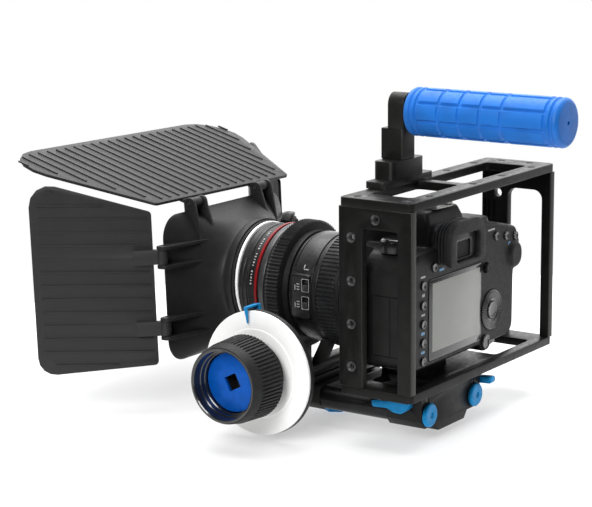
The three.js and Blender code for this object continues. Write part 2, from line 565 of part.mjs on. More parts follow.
function handWheel() {
  const { y, z } = WHEEL;
  const disc = turned('x', [
    [8, DISC_X - 2.4], [DISC_RADIUS, DISC_X - 2.4], [DISC_RADIUS, DISC_X], [30, DISC_X],
    [29.4, DISC_X + 0.5], [8, DISC_X + 0.5]], 40, 0, y, z);
  piece('ff_marking_disc', build([disc]), WHITE_PLASTIC);

  const socket = rounded([[-4.7, -4.7], [4.7, -4.7], [4.7, 4.7], [-4.7, 4.7]]).map((corner) =>
    corner.rotateAround(new THREE.Vector2(), 27 * Math.PI / 180).add(new THREE.Vector2(y, z)));
  const square = (from) => extrude('x', socket, from, KNOB_FRONT + 1);
  const knob = turned('x', [
    [0, DISC_X + 0.6], [22, DISC_X + 0.6], [22, KNOB_REAR - 1], [27, KNOB_REAR - 1], [28.2, KNOB_REAR + 0.4],
    [25.4, KNOB_FRONT - 1], [24.6, KNOB_FRONT], [22.6, KNOB_FRONT], [20, KNOB_FRONT - 11],
    [20, KNOB_FRONT - 14.3], [0, KNOB_FRONT - 14.3]], 36, 0, y, z);
  piece('ff_hand_knob', build([knob], [square(KNOB_FRONT - 22)]), RUBBER);
  const plate = rod('x', 19.7, 32, y, z, KNOB_FRONT - 14, KNOB_FRONT - 11.4);
  piece('ff_socket_plate', build([plate], [square(KNOB_FRONT - 16)]), BLUE_METAL);

  // The pointer turns with a collar on the gearbox boss and reaches over the disc's rim.
  const rim = DISC_RADIUS + 1.6;
  const collar = turned('x', [[10.3, 76.4], [14, 76.4], [14, 80.2], [10.3, 80.2]], 20, 0, 0, 0);
  const arm = box(77, 79.4, -3, 3, 12, rim + 1.6);
  const bridge = box(77, 91.2, -3, 3, rim, rim + 1.6);
  const tip = extrude('x', rounded([[-3, rim + 1], [-1, 34], [1, 34], [3, rim + 1]]), 89.8, 91.2);
  const marker = piece('ff_marker', build([collar, arm, bridge, tip]), BLUE_METAL);
  marker.position.set(0, y, z);
  marker.rotation.x = 8 * Math.PI / 180;
}

// ---------------------------------------------------------------- matte box
const hood = new THREE.Group();
hood.position.set(0, HOOD_Y, LENS_Z);
hood.rotation.x = HOOD_TILT;
rig.add(hood);

const HOOD_STATIONS = [3.5, -4, -10, -15, -20, -25, HOOD_FRONT];
const CLAMP_SCREW = { angle: -47 * Math.PI / 180, y: 0 };

// A circle at the clamp ring that grows into the front opening's rounded rectangle.
function hoodSection(y, inset) {
  const growth = Math.max(0, (-4 - y) / (-4 - HOOD_FRONT));
  const flare = growth ** 1.5;
  const halfWidth = THREE.MathUtils.lerp(40, HOOD_WIDTH / 2, flare) - inset;
  const halfHeight = THREE.MathUtils.lerp(40, HOOD_HEIGHT / 2, flare) - inset;
  const radius = THREE.MathUtils.lerp(40, 16, growth) - inset;
  const points = [];
  const steps = 9;
  for (const [quarter, sx, sz] of [[0, 1, 1], [1, -1, 1], [2, -1, -1], [3, 1, -1]]) {
    for (let k = 0; k < steps; k++) {
      const angle = (quarter + (k + 0.5) / steps) * Math.PI / 2;
      points.push([sx * (halfWidth - radius) + radius * Math.cos(angle), y,
        sz * (halfHeight - radius) + radius * Math.sin(angle)]);
    }
  }
  return points;
}

// A closed skin through sections of equal length, with a fan over each end.
function loft(sections) {
  const sides = sections[0].length;
  const centres = [sections[0], sections[sections.length - 1]].map((ring) => [0, ring[0][1], 0]);
  const positions = [...sections.flat(), ...centres];
  const triangles = [];
  const last = sections.length - 1;
  for (let i = 0; i < sides; i++) {
    const j = (i + 1) % sides;
    for (let k = 0; k < last; k++) {
      const a = k * sides;
      const b = (k + 1) * sides;
      triangles.push(a + i, a + j, b + i, b + i, a + j, b + j);
    }
    triangles.push(positions.length - 2, j, i);
    triangles.push(positions.length - 1, last * sides + i, last * sides + j);
  }
  const geometry = new THREE.BufferGeometry();
  geometry.setAttribute('position', new THREE.Float32BufferAttribute(positions.flat(), 3));
  geometry.setIndex(triangles);
  return geometry;
}

function matteHood() {
  const shell = loft(HOOD_STATIONS.map((y) => hoodSection(y, 0)));
  const inner = HOOD_STATIONS.map((y) => hoodSection(y, HOOD_WALL));
  inner[0].forEach((point) => { point[1] = 5; });
  const mouth = inner[inner.length - 1].map(([x, y, z]) => [x, y - 2, z]);
  const hollow = loft([...inner, mouth]);

  const parts = [shell];
  const holes = [];
  const topEar = rounded([[-30, 46], [-30, 61, 4], [-21.8, 61, 4], [-19, 54, 4], [-12, 40]], 2);
  const sideEar = rounded([[62, -30], [78.5, -32, 4], [78.5, -24, 4], [72, -21, 3], [46, -9]], 2);
  for (const centre of [-TOP_EARS, TOP_EARS]) {
    for (const at of [centre - EAR_SPREAD, centre + EAR_SPREAD]) {
      parts.push(extrude('x', topEar, at - EAR_THICK / 2, at + EAR_THICK / 2));
    }
    holes.push(rod('x', 1.9, 10, TOP_HINGE.y, TOP_HINGE.z, centre - 9, centre + 9));
  }
  for (const centre of [-SIDE_EARS, SIDE_EARS]) {
    for (const at of [centre - EAR_SPREAD, centre + EAR_SPREAD]) {
      const ear = extrude('z', sideEar, at - EAR_THICK / 2, at + EAR_THICK / 2);
      parts.push(ear, mirrored(ear.clone()));
    }
    for (const x of [-SIDE_HINGE.x, SIDE_HINGE.x]) {
      holes.push(rod('z', 1.9, 10, x, SIDE_HINGE.y, centre - 9, centre + 9));
    }
  }
  const boss = rod('z', 3.5, 14, 0, CLAMP_SCREW.y, 37.6, 44);
  const threaded = rod('z', 2.3, 10, 0, CLAMP_SCREW.y, 30, 46);
  for (const turnedPiece of [boss, threaded]) turnedPiece.rotateY(CLAMP_SCREW.angle);
  parts.push(boss);
  holes.push(threaded);
  piece('matte_hood', build(parts, [hollow, ...holes]), BLACK_PLASTIC, hood);

  const star = [];
  for (let i = 0; i < 20; i++) {
    const reach = i % 2 === 0 ? 6.2 : 5;
    const angle = Math.PI * i / 10;
    star.push(new THREE.Vector2(reach * Math.cos(angle), CLAMP_SCREW.y + reach * Math.sin(angle)));
  }
  const head = extrude('z', star, 46, 52.5);
  const shank = rod('z', 2, 10, 0, CLAMP_SCREW.y, 38.2, 47);
  const screw = build([head, shank]);
  screw.rotateY(CLAMP_SCREW.angle);
  piece('hood_clamp_screw', build([screw]), BLACK_PLASTIC, hood);
}

// Knuckles with stub pins on the flag's hinge line, each with a tongue under the plate.
function knuckles(axis, centres, thick0, thick1) {
  const parts = [];
  const half = EAR_SPREAD - EAR_THICK / 2 - GAP;
  for (const at of centres) {
    const zero = [0, 0];
    parts.push(rod(axis, KNUCKLE_RADIUS, 14, ...zero, at - half, at + half));
    parts.push(rod(axis, 1.6, 8, ...zero, at - EAR_SPREAD - 1, at + EAR_SPREAD + 1));
    parts.push(axis === 'x'
      ? box(at - half, at + half, -20, 0, thick0, thick1)
      : box(thick0, thick1, -20, 0, at - half, at + half));
  }
  return parts;
}

function topFlag() {
  const start = -6.2;
  const length = 109;
  const rear = 75;
  const front = 128;
  const outline = rounded([
    [-rear, start, 3], [-front, start - length, 27], [front, start - length, 27], [rear, start, 3]], 5);
  const low = -0.5;
  const high = low + FLAG_THICK;
  const parts = [extrude('z', outline, low, high)];
  const ribs = Math.floor((front - 9) / RIB_PITCH);
  for (let i = -ribs; i <= ribs; i++) {
    const x = i * RIB_PITCH;
    const slope = (front - rear) / length;
    const back = start - 4 - Math.max(0, (Math.abs(x) - rear + 5) / slope);
    const corner = Math.max(0, Math.abs(x) - (front - 32));
    const ahead = start - length + 5 + corner * 0.55;
    if (back - ahead > 8) parts.push(box(x - 0.7, x + 0.7, ahead, back, high - 0.2, high + RIB_HEIGHT));
  }
  for (const part of parts) part.translate(-3, 0, 0).rotateZ(TOP_FLAG_SKEW);
  parts.push(...knuckles('x', [-TOP_EARS, TOP_EARS], -2, low + 1));
  const flag = piece('top_flag', build(parts), BLACK_PLASTIC, hood);
  flag.position.set(0, TOP_HINGE.y, TOP_HINGE.z);
  flag.rotation.x = -(TOP_FLAG_LIFT + HOOD_TILT);
}

function sideFlags() {
  const start = -6.3;
  const length = 82;
  const bottom = { near: -50.5, far: -54.6 };
  const top = { near: 55.3, far: 81.6 };
  const end = start - length;
  const rise = length * Math.tan(HOOD_TILT);             // the ribs run level
  const outline = rounded([
    [start, bottom.near, 3], [end, bottom.far, 12], [end, top.far, 14], [start, top.near, 3]], 4);
  const low = -4.6;
  const high = low + FLAG_THICK;
  for (const [name, sign] of [['left_flag', 1], ['right_flag', -1]]) {
    const parts = [extrude('x', outline, low, high),
      ...knuckles('z', [-SIDE_EARS, SIDE_EARS], high - 1, 1)];
    for (let i = 0; i < 14; i++) {
      const z = -50.7 + i * RIB_PITCH;
      const overTop = Math.max(0, z - (top.near - 4)) * length / (top.far - top.near - rise);
      const inner = start - 3 - overTop - (i === 0 ? 24 : 0);
      const outer = end + (i % 13 === 0 ? 12 : 5);
      const lift = (y) => z + rise * (start - y) / length;
      const rib = [[outer, lift(outer)], [inner, lift(inner)], [inner, lift(inner) + 1.2],
        [outer, lift(outer) + 1.2]];
      parts.push(extrude('x', rounded(rib), high - 0.2, high + RIB_HEIGHT));
    }
    const geometry = build(parts);
    const flag = piece(name, sign > 0 ? geometry : build([mirrored(geometry)]), BLACK_PLASTIC, hood);
    flag.position.set(sign * SIDE_HINGE.x, SIDE_HINGE.y, 0);
    flag.rotation.z = sign * SIDE_FLAG_SPREAD;
  }
}

// ---------------------------------------------------------------- assembly
cagePlates();
cameraScrew();
handle();
rodBlock();
rods();
clampLevers();
cameraBody();
cameraControls();
lens();
followFocusSupport();
gearbox();
handWheel();
matteHood();
topFlag();
sideFlags();

export default assembly;
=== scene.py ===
"""Looks for the camera cage rig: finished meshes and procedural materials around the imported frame.

Shapes are given in millimetres in the cage's frame, as in the CAD source: X = 0 on the lens
axis, Y = 0 at the cage's rear face with the lens pointing to -Y, Z = 0 at the cage's underside.
place() turns them into the row frame's metres.
"""

import json
import math

import bmesh
import bpy
from mathutils import Matrix, Vector


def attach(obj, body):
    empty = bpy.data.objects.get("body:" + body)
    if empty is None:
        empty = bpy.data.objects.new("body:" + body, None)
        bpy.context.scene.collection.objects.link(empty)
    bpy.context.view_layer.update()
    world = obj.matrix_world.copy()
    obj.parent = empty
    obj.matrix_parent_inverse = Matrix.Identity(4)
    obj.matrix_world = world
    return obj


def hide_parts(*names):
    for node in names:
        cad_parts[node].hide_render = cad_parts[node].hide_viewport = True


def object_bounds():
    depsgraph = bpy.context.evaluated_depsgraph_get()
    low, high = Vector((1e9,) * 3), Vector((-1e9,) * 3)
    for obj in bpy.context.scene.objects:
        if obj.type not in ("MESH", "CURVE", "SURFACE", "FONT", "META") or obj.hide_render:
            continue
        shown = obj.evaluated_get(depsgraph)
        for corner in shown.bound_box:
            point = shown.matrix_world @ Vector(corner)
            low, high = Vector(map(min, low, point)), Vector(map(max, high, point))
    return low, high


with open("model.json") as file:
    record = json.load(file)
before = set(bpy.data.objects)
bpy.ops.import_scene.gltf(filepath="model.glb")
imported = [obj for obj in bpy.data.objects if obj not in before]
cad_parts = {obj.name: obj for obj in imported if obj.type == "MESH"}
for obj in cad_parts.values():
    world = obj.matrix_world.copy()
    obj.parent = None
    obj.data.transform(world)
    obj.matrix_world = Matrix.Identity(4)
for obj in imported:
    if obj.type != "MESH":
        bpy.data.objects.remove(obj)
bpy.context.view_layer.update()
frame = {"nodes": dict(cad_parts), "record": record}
NODES = frame["nodes"]
BODY = {node: body for body, nodes in frame["record"]["behaviour"]["bodies"].items() for node in nodes}

# ------------------------------------------------------------------ driving dimensions (mm)
CAGE = Vector((0, 22.5, 30))          # cage frame to row frame
CAGE_LEFT, CAGE_RIGHT, CAGE_DEPTH, CAGE_HEIGHT = 66, -126, 54.7, 129.6
TOP_THICK, BOTTOM_THICK, SIDE_THICK = 5.7, 5.5, 6
RAIL_FRONT, RAIL_REAR, BOTTOM_RAIL_REAR, SIDE_WINDOW_TOP = -43, -12, -8, 110.4
LENS_Z, SWITCH_SLOTS = 53, (45, 57)
ROD_X, ROD_Z, ROD_RADIUS, ROD_BORE, ROD_LENGTH = 30, -16.4, 7.5, 5.5, 150
BLOCK_REAR = -9
HANDLE_Z, GRIP_RADIUS, GRIP_FRONT, GRIP_REAR = 178, 16, -38, 74
CAMERA_REAR, CAMERA_FRONT, CAMERA_FLOOR, SHOULDER, PRISM_TOP = -8, -58, 16, 92, 116
SCREW_Y, SCREW_BORE, SCREW_HEAD = -30, 3.4, 6.3
WHEEL_Y, WHEEL_Z, DISC_X, DISC_RADIUS, CUP_FLOOR, CUP_RADIUS = -104.9, 10.9, 88, 41.5, 112, 24
HOOD_Y, HOOD_FRONT, HOOD_TILT = -163, -31, math.radians(2.2)
HOOD_WIDTH, HOOD_HEIGHT, HOOD_WALL, NECK_RADIUS, NECK_FRONT = 140, 102.5, 2.4, 40, -4
FLOOR_RADIUS, FAR_SIDE = 0.5, (-0.78, -0.45, 0.42)


# ------------------------------------------------------------------ camera
def make_camera():
    """The photograph's viewpoint: behind the rig on the operator's left, a little above it."""
    azimuth, elevation, roll = (math.radians(a) for a in (124.728, 11.570, -0.504))
    forward = Vector((-math.cos(elevation) * math.sin(azimuth),
                      math.cos(elevation) * math.cos(azimuth), -math.sin(elevation)))
    level = Vector((math.cos(azimuth), math.sin(azimuth), 0))
    up = level.cross(forward)
    right = math.cos(roll) * level + math.sin(roll) * up
    up = right.cross(forward)
    camera = bpy.data.objects.new("camera", bpy.data.cameras.new("camera"))
    camera.data.lens = 121.87
    camera.data.sensor_width = 36
    camera.data.clip_start = 0.05
    turn = Matrix((right, up, -forward)).transposed().to_4x4()
    camera.matrix_world = Matrix.Translation((1.11565, 0.66219, 0.38037)) @ turn
    bpy.context.scene.collection.objects.link(camera)
    bpy.context.scene.camera = camera


# ------------------------------------------------------------------ materials
class Paint:
    """A principled material whose colour, roughness and bump vary by noise or cells in object space."""

    def __init__(self, name, colour, roughness, metallic=0.0):
        self.name = name
        self.material = bpy.data.materials.new(f"{name}_finish")
        self.material.use_nodes = True
        self.tree = self.material.node_tree
        self.shader = self.tree.nodes["Principled BSDF"]
        self.shader.inputs["Base Color"].default_value = (*colour, 1)
        self.shader.inputs["Roughness"].default_value = roughness
        self.shader.inputs["Metallic"].default_value = metallic
        self.colour = colour
        self.roughness = roughness
        self.place = self.tree.nodes.new("ShaderNodeTexCoord").outputs["Object"]
        self.normal = None

    def set(self, **values):
        for name, value in values.items():
            self.shader.inputs[name.replace("_", " ")].default_value = value
        return self

    def node(self, kind, **settings):
        node = self.tree.nodes.new(kind)
        for name, value in settings.items():
            setattr(node, name, value)
        return node

    def stretched(self, stretch):
        mapping = self.node("ShaderNodeMapping")
        mapping.inputs["Scale"].default_value = stretch
        self.tree.links.new(self.place, mapping.inputs["Vector"])
        return mapping.outputs["Vector"]

    def noise(self, size_mm, detail=3.0, stretch=(1, 1, 1)):
        noise = self.node("ShaderNodeTexNoise")
        noise.inputs["Scale"].default_value = 1000 / size_mm
        noise.inputs["Detail"].default_value = detail
        self.tree.links.new(self.stretched(stretch), noise.inputs["Vector"])
        return noise.outputs["Fac"]

    def cells(self, size_mm):
        cells = self.node("ShaderNodeTexVoronoi")
        cells.inputs["Scale"].default_value = 1000 / size_mm
        self.tree.links.new(self.place, cells.inputs["Vector"])
        return cells.outputs["Distance"]

    def spread(self, value, low, high):
        """Maps the middle of a noise value to low..high."""
        ranged = self.node("ShaderNodeMapRange")
        ranged.inputs["From Min"].default_value = 0.3
        ranged.inputs["From Max"].default_value = 0.7
        ranged.inputs["To Min"].default_value = low
        ranged.inputs["To Max"].default_value = high
        self.tree.links.new(value, ranged.inputs["Value"])
        return ranged.outputs["Result"]

    def rough(self, size_mm, swing, stretch=(1, 1, 1)):
        value = self.spread(self.noise(size_mm, 4, stretch), self.roughness - swing, self.roughness + swing)
        self.tree.links.new(value, self.shader.inputs["Roughness"])
        return self

    def bump(self, value, height_mm, strength=1.0):
        bump = self.node("ShaderNodeBump")
        bump.inputs["Distance"].default_value = height_mm / 1000
        bump.inputs["Strength"].default_value = strength
        self.tree.links.new(value, bump.inputs["Height"])
        if self.normal is not None:
            self.tree.links.new(self.normal, bump.inputs["Normal"])
        self.normal = bump.outputs["Normal"]
        self.tree.links.new(self.normal, self.shader.inputs["Normal"])
        return self

    def mottle(self, size_mm, dark, light, scuff_and_highlight=None):
        """Colour that drifts between dark and light times the base. On convex edges it turns to a lighter
        colour that is partly real scuffing and partly a painted edge highlight.
        """
        mix = self.node("ShaderNodeMix", data_type="RGBA")
        mix.inputs[6].default_value = (*(c * dark for c in self.colour), 1)
        mix.inputs[7].default_value = (*(c * light for c in self.colour), 1)
        self.tree.links.new(self.spread(self.noise(size_mm), 0, 1), mix.inputs["Factor"])
        colour = mix.outputs[2]
        # Convex edges, found by pointiness, blend towards the lighter edge colour: part real scuffing, part
        # painted highlight along the edges.
        if scuff_and_highlight is not None:
            edge = self.node("ShaderNodeMapRange")
            edge.inputs["From Min"].default_value = 0.53
            edge.inputs["From Max"].default_value = 0.62
            edge.inputs["To Max"].default_value = 0.5
            point = self.node("ShaderNodeNewGeometry").outputs["Pointiness"]
            self.tree.links.new(point, edge.inputs["Value"])
            scuffed_and_highlit = self.node("ShaderNodeMix", data_type="RGBA")
            scuffed_and_highlit.inputs[7].default_value = (*scuff_and_highlight, 1)
            self.tree.links.new(edge.outputs["Result"], scuffed_and_highlit.inputs["Factor"])
            self.tree.links.new(colour, scuffed_and_highlit.inputs[6])
            colour = scuffed_and_highlit.outputs[2]
        self.tree.links.new(colour, self.shader.inputs["Base Color"])
        return self


def make_materials():
    # The lighter edge colours passed to mottle below are partly real scuffed edges and partly a painted edge
    # highlight.
    anodised = Paint("anodised_black", (0.0075, 0.0073, 0.007), 0.38, 0.15)
    anodised.set(Specular_IOR_Level=0.14)
    anodised.mottle(9, 0.8, 1.25, scuff_and_highlight=(0.07, 0.068, 0.065)).rough(3, 0.07)
    anodised.bump(anodised.noise(0.35, 2), 0.012, 0.6)

    rod = Paint("anodised_rod", (0.016, 0.016, 0.017), 0.33, 0.6)
    rod.mottle(12, 0.8, 1.3).rough(1.2, 0.08, (1, 0.05, 1))
    rod.bump(rod.noise(0.4, 2, (1, 0.04, 1)), 0.008, 0.5)

    blue = Paint("anodised_blue", (0.004, 0.225, 0.52), 0.36, 0.2)
    blue.set(Specular_IOR_Level=0.2)
    blue.mottle(5, 0.85, 1.15, scuff_and_highlight=(0.05, 0.26, 0.52)).rough(2, 0.08)
    blue.bump(blue.noise(0.3, 2), 0.01, 0.5)

    deep_blue = Paint("socket_blue", (0.001, 0.08, 0.4), 0.34, 0.2)
    deep_blue.set(Specular_IOR_Level=0.15)
    deep_blue.mottle(5, 0.88, 1.12).rough(2, 0.06)
    deep_blue.bump(deep_blue.noise(0.3, 2), 0.01, 0.5)

    rubber = Paint("blue_rubber", (0.008, 0.15, 0.56), 0.5)
    rubber.set(Specular_IOR_Level=0.3, Sheen_Weight=0.05, Sheen_Roughness=0.5)
    rubber.mottle(14, 0.88, 1.12, scuff_and_highlight=(0.02, 0.21, 0.62)).rough(2.5, 0.08)
    rubber.bump(rubber.noise(0.5, 5), 0.05, 0.6)

    plastic = Paint("black_plastic", (0.013, 0.013, 0.0132), 0.45)
    plastic.set(Specular_IOR_Level=0.22)
    plastic.mottle(16, 0.85, 1.15, scuff_and_highlight=(0.035, 0.035, 0.035)).rough(4, 0.05)
    plastic.bump(plastic.noise(0.45, 3), 0.02, 0.6)

    shell = Paint("camera_shell", (0.011, 0.0108, 0.0106), 0.42)
    shell.set(Specular_IOR_Level=0.16)
    shell.mottle(11, 0.85, 1.2, scuff_and_highlight=(0.04, 0.04, 0.04)).rough(3, 0.07)
    shell.bump(shell.cells(0.35), 0.03, 0.55)

    hide = Paint("camera_leatherette", (0.01, 0.01, 0.01), 0.58)
    hide.set(Specular_IOR_Level=0.35)
    hide.mottle(6, 0.7, 1.4).rough(1.5, 0.08)
    hide.bump(hide.cells(1.1), 0.14, 0.8).bump(hide.noise(0.3), 0.02, 0.5)

    barrel = Paint("lens_barrel", (0.013, 0.013, 0.0135), 0.32)
    barrel.set(Specular_IOR_Level=0.32)
    barrel.mottle(9, 0.8, 1.3, scuff_and_highlight=(0.03, 0.03, 0.03)).rough(2.5, 0.07)
    barrel.bump(barrel.noise(0.3), 0.012, 0.5)

    satin = Paint("lens_satin", (0.07, 0.07, 0.073), 0.34, 0.6)
    satin.mottle(7, 0.8, 1.2).rough(2, 0.07)
    satin.bump(satin.noise(0.3, 2), 0.008, 0.5)

    black_rubber = Paint("black_rubber", (0.012, 0.012, 0.0125), 0.58)
    black_rubber.set(Specular_IOR_Level=0.2, Sheen_Weight=0.03)
    black_rubber.mottle(4, 0.75, 1.35).rough(1.5, 0.1)
    black_rubber.bump(black_rubber.noise(0.4, 4), 0.03, 0.7)

    white = Paint("white_plastic", (0.93, 0.93, 0.92), 0.34)
    white.mottle(20, 0.97, 1.02).rough(5, 0.05)
    white.bump(white.noise(0.6), 0.006, 0.4)

    red = Paint("red_ring", (0.2, 0.006, 0.008), 0.36)
    red.set(Specular_IOR_Level=0.2)
    red.mottle(5, 0.85, 1.15).rough(1.5, 0.06)
    red.bump(red.noise(0.5), 0.01, 0.3)

    screen = Paint("screen_face", (0.31, 0.315, 0.295), 0.34)
    screen.set(Specular_IOR_Level=0.3)
    screen.mottle(40, 0.94, 1.05).rough(9, 0.03)
    screen.bump(screen.noise(14, 1), 0.02, 0.3)

    glass = Paint("lens_glass", (0.012, 0.012, 0.02), 0.05)
    glass.set(Coat_Weight=1.0, Coat_Roughness=0.02, IOR=1.7, Coat_Tint=(0.75, 0.55, 1.0, 1))
    glass.mottle(30, 0.8, 1.2).rough(20, 0.02)

    gloss = Paint("black_gloss", (0.01, 0.01, 0.011), 0.2)
    gloss.set(Coat_Weight=0.4, Coat_Roughness=0.08)
    gloss.mottle(8, 0.8, 1.2).rough(6, 0.04)

    steel = Paint("steel", (0.36, 0.36, 0.35), 0.34, 1.0)
    steel.mottle(3, 0.8, 1.1).rough(1, 0.08, (1, 0.1, 1))
    steel.bump(steel.noise(0.3, 2, (1, 0.1, 1)), 0.008, 0.5)

    mark = Paint("white_marks", (0.4, 0.4, 0.39), 0.45)
    mark.mottle(1.5, 0.85, 1.05).rough(1, 0.05)
    blue_mark = Paint("blue_marks", (0.12, 0.3, 0.5), 0.45)
    blue_mark.mottle(1.5, 0.85, 1.05).rough(1, 0.05)
    paints = [anodised, rod, blue, deep_blue, rubber, plastic, shell, hide, barrel, satin, black_rubber,
              white, red, screen, glass, gloss, steel, mark, blue_mark]
    return {paint.name: paint.material for paint in paints}


# ------------------------------------------------------------------ outlines (mm)
def circle(radius, sides=24, u=0.0, v=0.0):
    steps = (2 * math.pi * i / sides for i in range(sides))
    return [(u + radius * math.cos(a), v + radius * math.sin(a)) for a in steps]


def rounded(corners, steps=6):
    """A polygon whose corners (u, v, radius) are rounded by true arcs, as far as their edges have room."""
    points = []
    for i, corner in enumerate(corners):
        here = Vector(corner[:2])
        radius = corner[2] if len(corner) > 2 else 0
        if radius == 0:
            points.append(tuple(here))
            continue
        back = Vector(corners[i - 1][:2]) - here
        ahead = Vector(corners[(i + 1) % len(corners)][:2]) - here
        room = 0.48 * min(back.length, ahead.length)
        back.normalize()
        ahead.normalize()
        half = back.angle(ahead) / 2
        radius = min(radius, room * math.tan(half))
        centre = here + (back + ahead).normalized() * radius / math.sin(half)
        start = here + back * radius / math.tan(half) - centre
        sweep = start.angle_signed(here + ahead * radius / math.tan(half) - centre)
        for k in range(steps + 1):
            spoke = start.copy()
            spoke.rotate(Matrix.Rotation(-sweep * k / steps, 2))
            points.append(tuple(centre + spoke))
    return points


def rectangle(u0, u1, v0, v1, radius=0.0, steps=6):
    return rounded([(u0, v0, radius), (u1, v0, radius), (u1, v1, radius), (u0, v1, radius)], steps)


def soften(profile, radius=0.35, steps=2):
    """Fillets the corners of a closed turned profile, except the ends that lie on the axis."""
    corners = [(r, a, 0 if r == 0 else radius) for r, a in profile]
    for i, (r, a, wanted) in enumerate(corners):
        before = Vector((r, a)) - Vector(corners[i - 1][:2])
        after = Vector(corners[(i + 1) % len(corners)][:2]) - Vector((r, a))
        corners[i] = (r, a, min(wanted, 0.45 * before.length, 0.45 * after.length))
        if before.length == 0 or after.length == 0 or before.angle(after) < 0.2:
            corners[i] = (r, a, 0)
    return rounded(corners, steps)


# ------------------------------------------------------------------ meshes (mm, cage frame)
AXES = {
    "x": Matrix(((0, 0, 1), (1, 0, 0), (0, 1, 0))).to_4x4(),
    "y": Matrix(((1, 0, 0), (0, 0, 1), (0, 1, 0))).to_4x4(),
    "z": Matrix.Identity(4),
}


def oriented(bm):
    bmesh.ops.recalc_face_normals(bm, faces=bm.faces)
    return bm


def from_mesh(mesh):
    bm = bmesh.new()
    bm.from_mesh(mesh)
    bpy.data.meshes.remove(mesh)
    return bm


def evaluated(obj):
    """The object's final mesh as a bmesh; the object itself is removed."""
    graph = bpy.context.evaluated_depsgraph_get()
    mesh = bpy.data.meshes.new_from_object(obj.evaluated_get(graph))
    bpy.data.objects.remove(obj)
    return from_mesh(mesh)


def slab(axis, loops, low, high, edge=0.4, segments=2):
    """A plate: filled outlines, the first the outer one, with every edge rounded by edge."""
    curve = bpy.data.curves.new("slab", "CURVE")
    curve.dimensions = "2D"
    curve.fill_mode = "BOTH"
    curve.extrude = (high - low) / 2 - edge
    curve.bevel_depth = edge
    curve.bevel_resolution = segments - 1
    curve.offset = -edge
    for loop in loops:
        spline = curve.splines.new("POLY")
        spline.points.add(len(loop) - 1)
        for point, (u, v) in zip(spline.points, loop):
            point.co = (u, v, 0, 1)
        spline.use_cyclic_u = True
    obj = bpy.data.objects.new("slab", curve)
    bpy.context.scene.collection.objects.link(obj)
    bm = evaluated(obj)
    bpy.data.curves.remove(curve)
    bmesh.ops.remove_doubles(bm, verts=bm.verts, dist=1e-3)
    bmesh.ops.translate(bm, verts=bm.verts, vec=(0, 0, (low + high) / 2))
    bmesh.ops.transform(bm, matrix=AXES[axis], verts=bm.verts)
    return oriented(bm)


def box(x0, x1, y0, y1, z0, z1, edge=0.3):
    return slab("z", [rectangle(x0, x1, y0, y1)], z0, z1, edge)


def turned(axis, profile, centre=(0, 0, 0), segments=96, swell=None):
    """A lathe of (radius, distance) points. swell(angle, radius, distance) may change a radius."""
    bm = bmesh.new()
    rings = []
    for radius, along in profile:
        if radius == 0:
            rings.append([bm.verts.new((0, 0, along))] * segments)
            continue
        ring = []
        for i in range(segments):
            angle = 2 * math.pi * i / segments
            reach = swell(angle, radius, along) if swell else radius
            ring.append(bm.verts.new((reach * math.cos(angle), reach * math.sin(angle), along)))
        rings.append(ring)
    closed = profile[0][0] != 0
    for k in range(len(rings) if closed else len(rings) - 1):
        a, b = rings[k], rings[(k + 1) % len(rings)]
        for i in range(segments):
            j = (i + 1) % segments
            corners = list(dict.fromkeys([a[i], a[j], b[j], b[i]]))
            if len(corners) > 2:
                bm.faces.new(corners)
    bmesh.ops.transform(bm, matrix=Matrix.Translation(centre) @ AXES[axis], verts=bm.verts)
    return oriented(bm)


def cylinder(axis, radius, low, high, centre=(0, 0, 0), edge=0.3, segments=48):
    return turned(axis, soften([(0, low), (radius, low), (radius, high), (0, high)], edge), centre, segments)


def joined(*parts):
    """Several meshes as one piece."""
    whole = parts[0]
    for part in parts[1:]:
        mesh = bpy.data.meshes.new("part")
        part.to_mesh(mesh)
        part.free()
        whole.from_mesh(mesh)
        bpy.data.meshes.remove(mesh)
    return whole


def as_object(bm):
    mesh = bpy.data.meshes.new("tool")
    bm.to_mesh(mesh)
    bm.free()
    obj = bpy.data.objects.new("tool", mesh)
    bpy.context.scene.collection.objects.link(obj)
    return obj


def boolean(bm, operation, *tools):
    """bm joined with, or cut by, the tools; operation is UNION or DIFFERENCE."""
    body = as_object(bm)
    others = [as_object(tool) for tool in tools]
    for other in others:
        modifier = body.modifiers.new("cut", "BOOLEAN")
        modifier.operation = operation
        modifier.solver = "EXACT"
        modifier.object = other
    result = evaluated(body)
    for other in others:
        bpy.data.objects.remove(other)
    return result


def modified(bm, kind, **settings):
    """bm with one modifier applied."""
    obj = as_object(bm)
    modifier = obj.modifiers.new("change", kind)
    for name, value in settings.items():
        setattr(modifier, name, value)
    return evaluated(obj)


def eased(bm, width=0.4, segments=2, angle=32):
    """Rounds the edges that are sharper than angle."""
    return modified(bm, "BEVEL", width=width, segments=segments, limit_method="ANGLE",
                    angle_limit=math.radians(angle), harden_normals=False)


def moved(bm, matrix):
    bmesh.ops.transform(bm, matrix=matrix, verts=bm.verts)
    return bm


def mirrored(bm):
    moved(bm, Matrix.Scale(-1, 4, (1, 0, 0)))
    return oriented(bm)


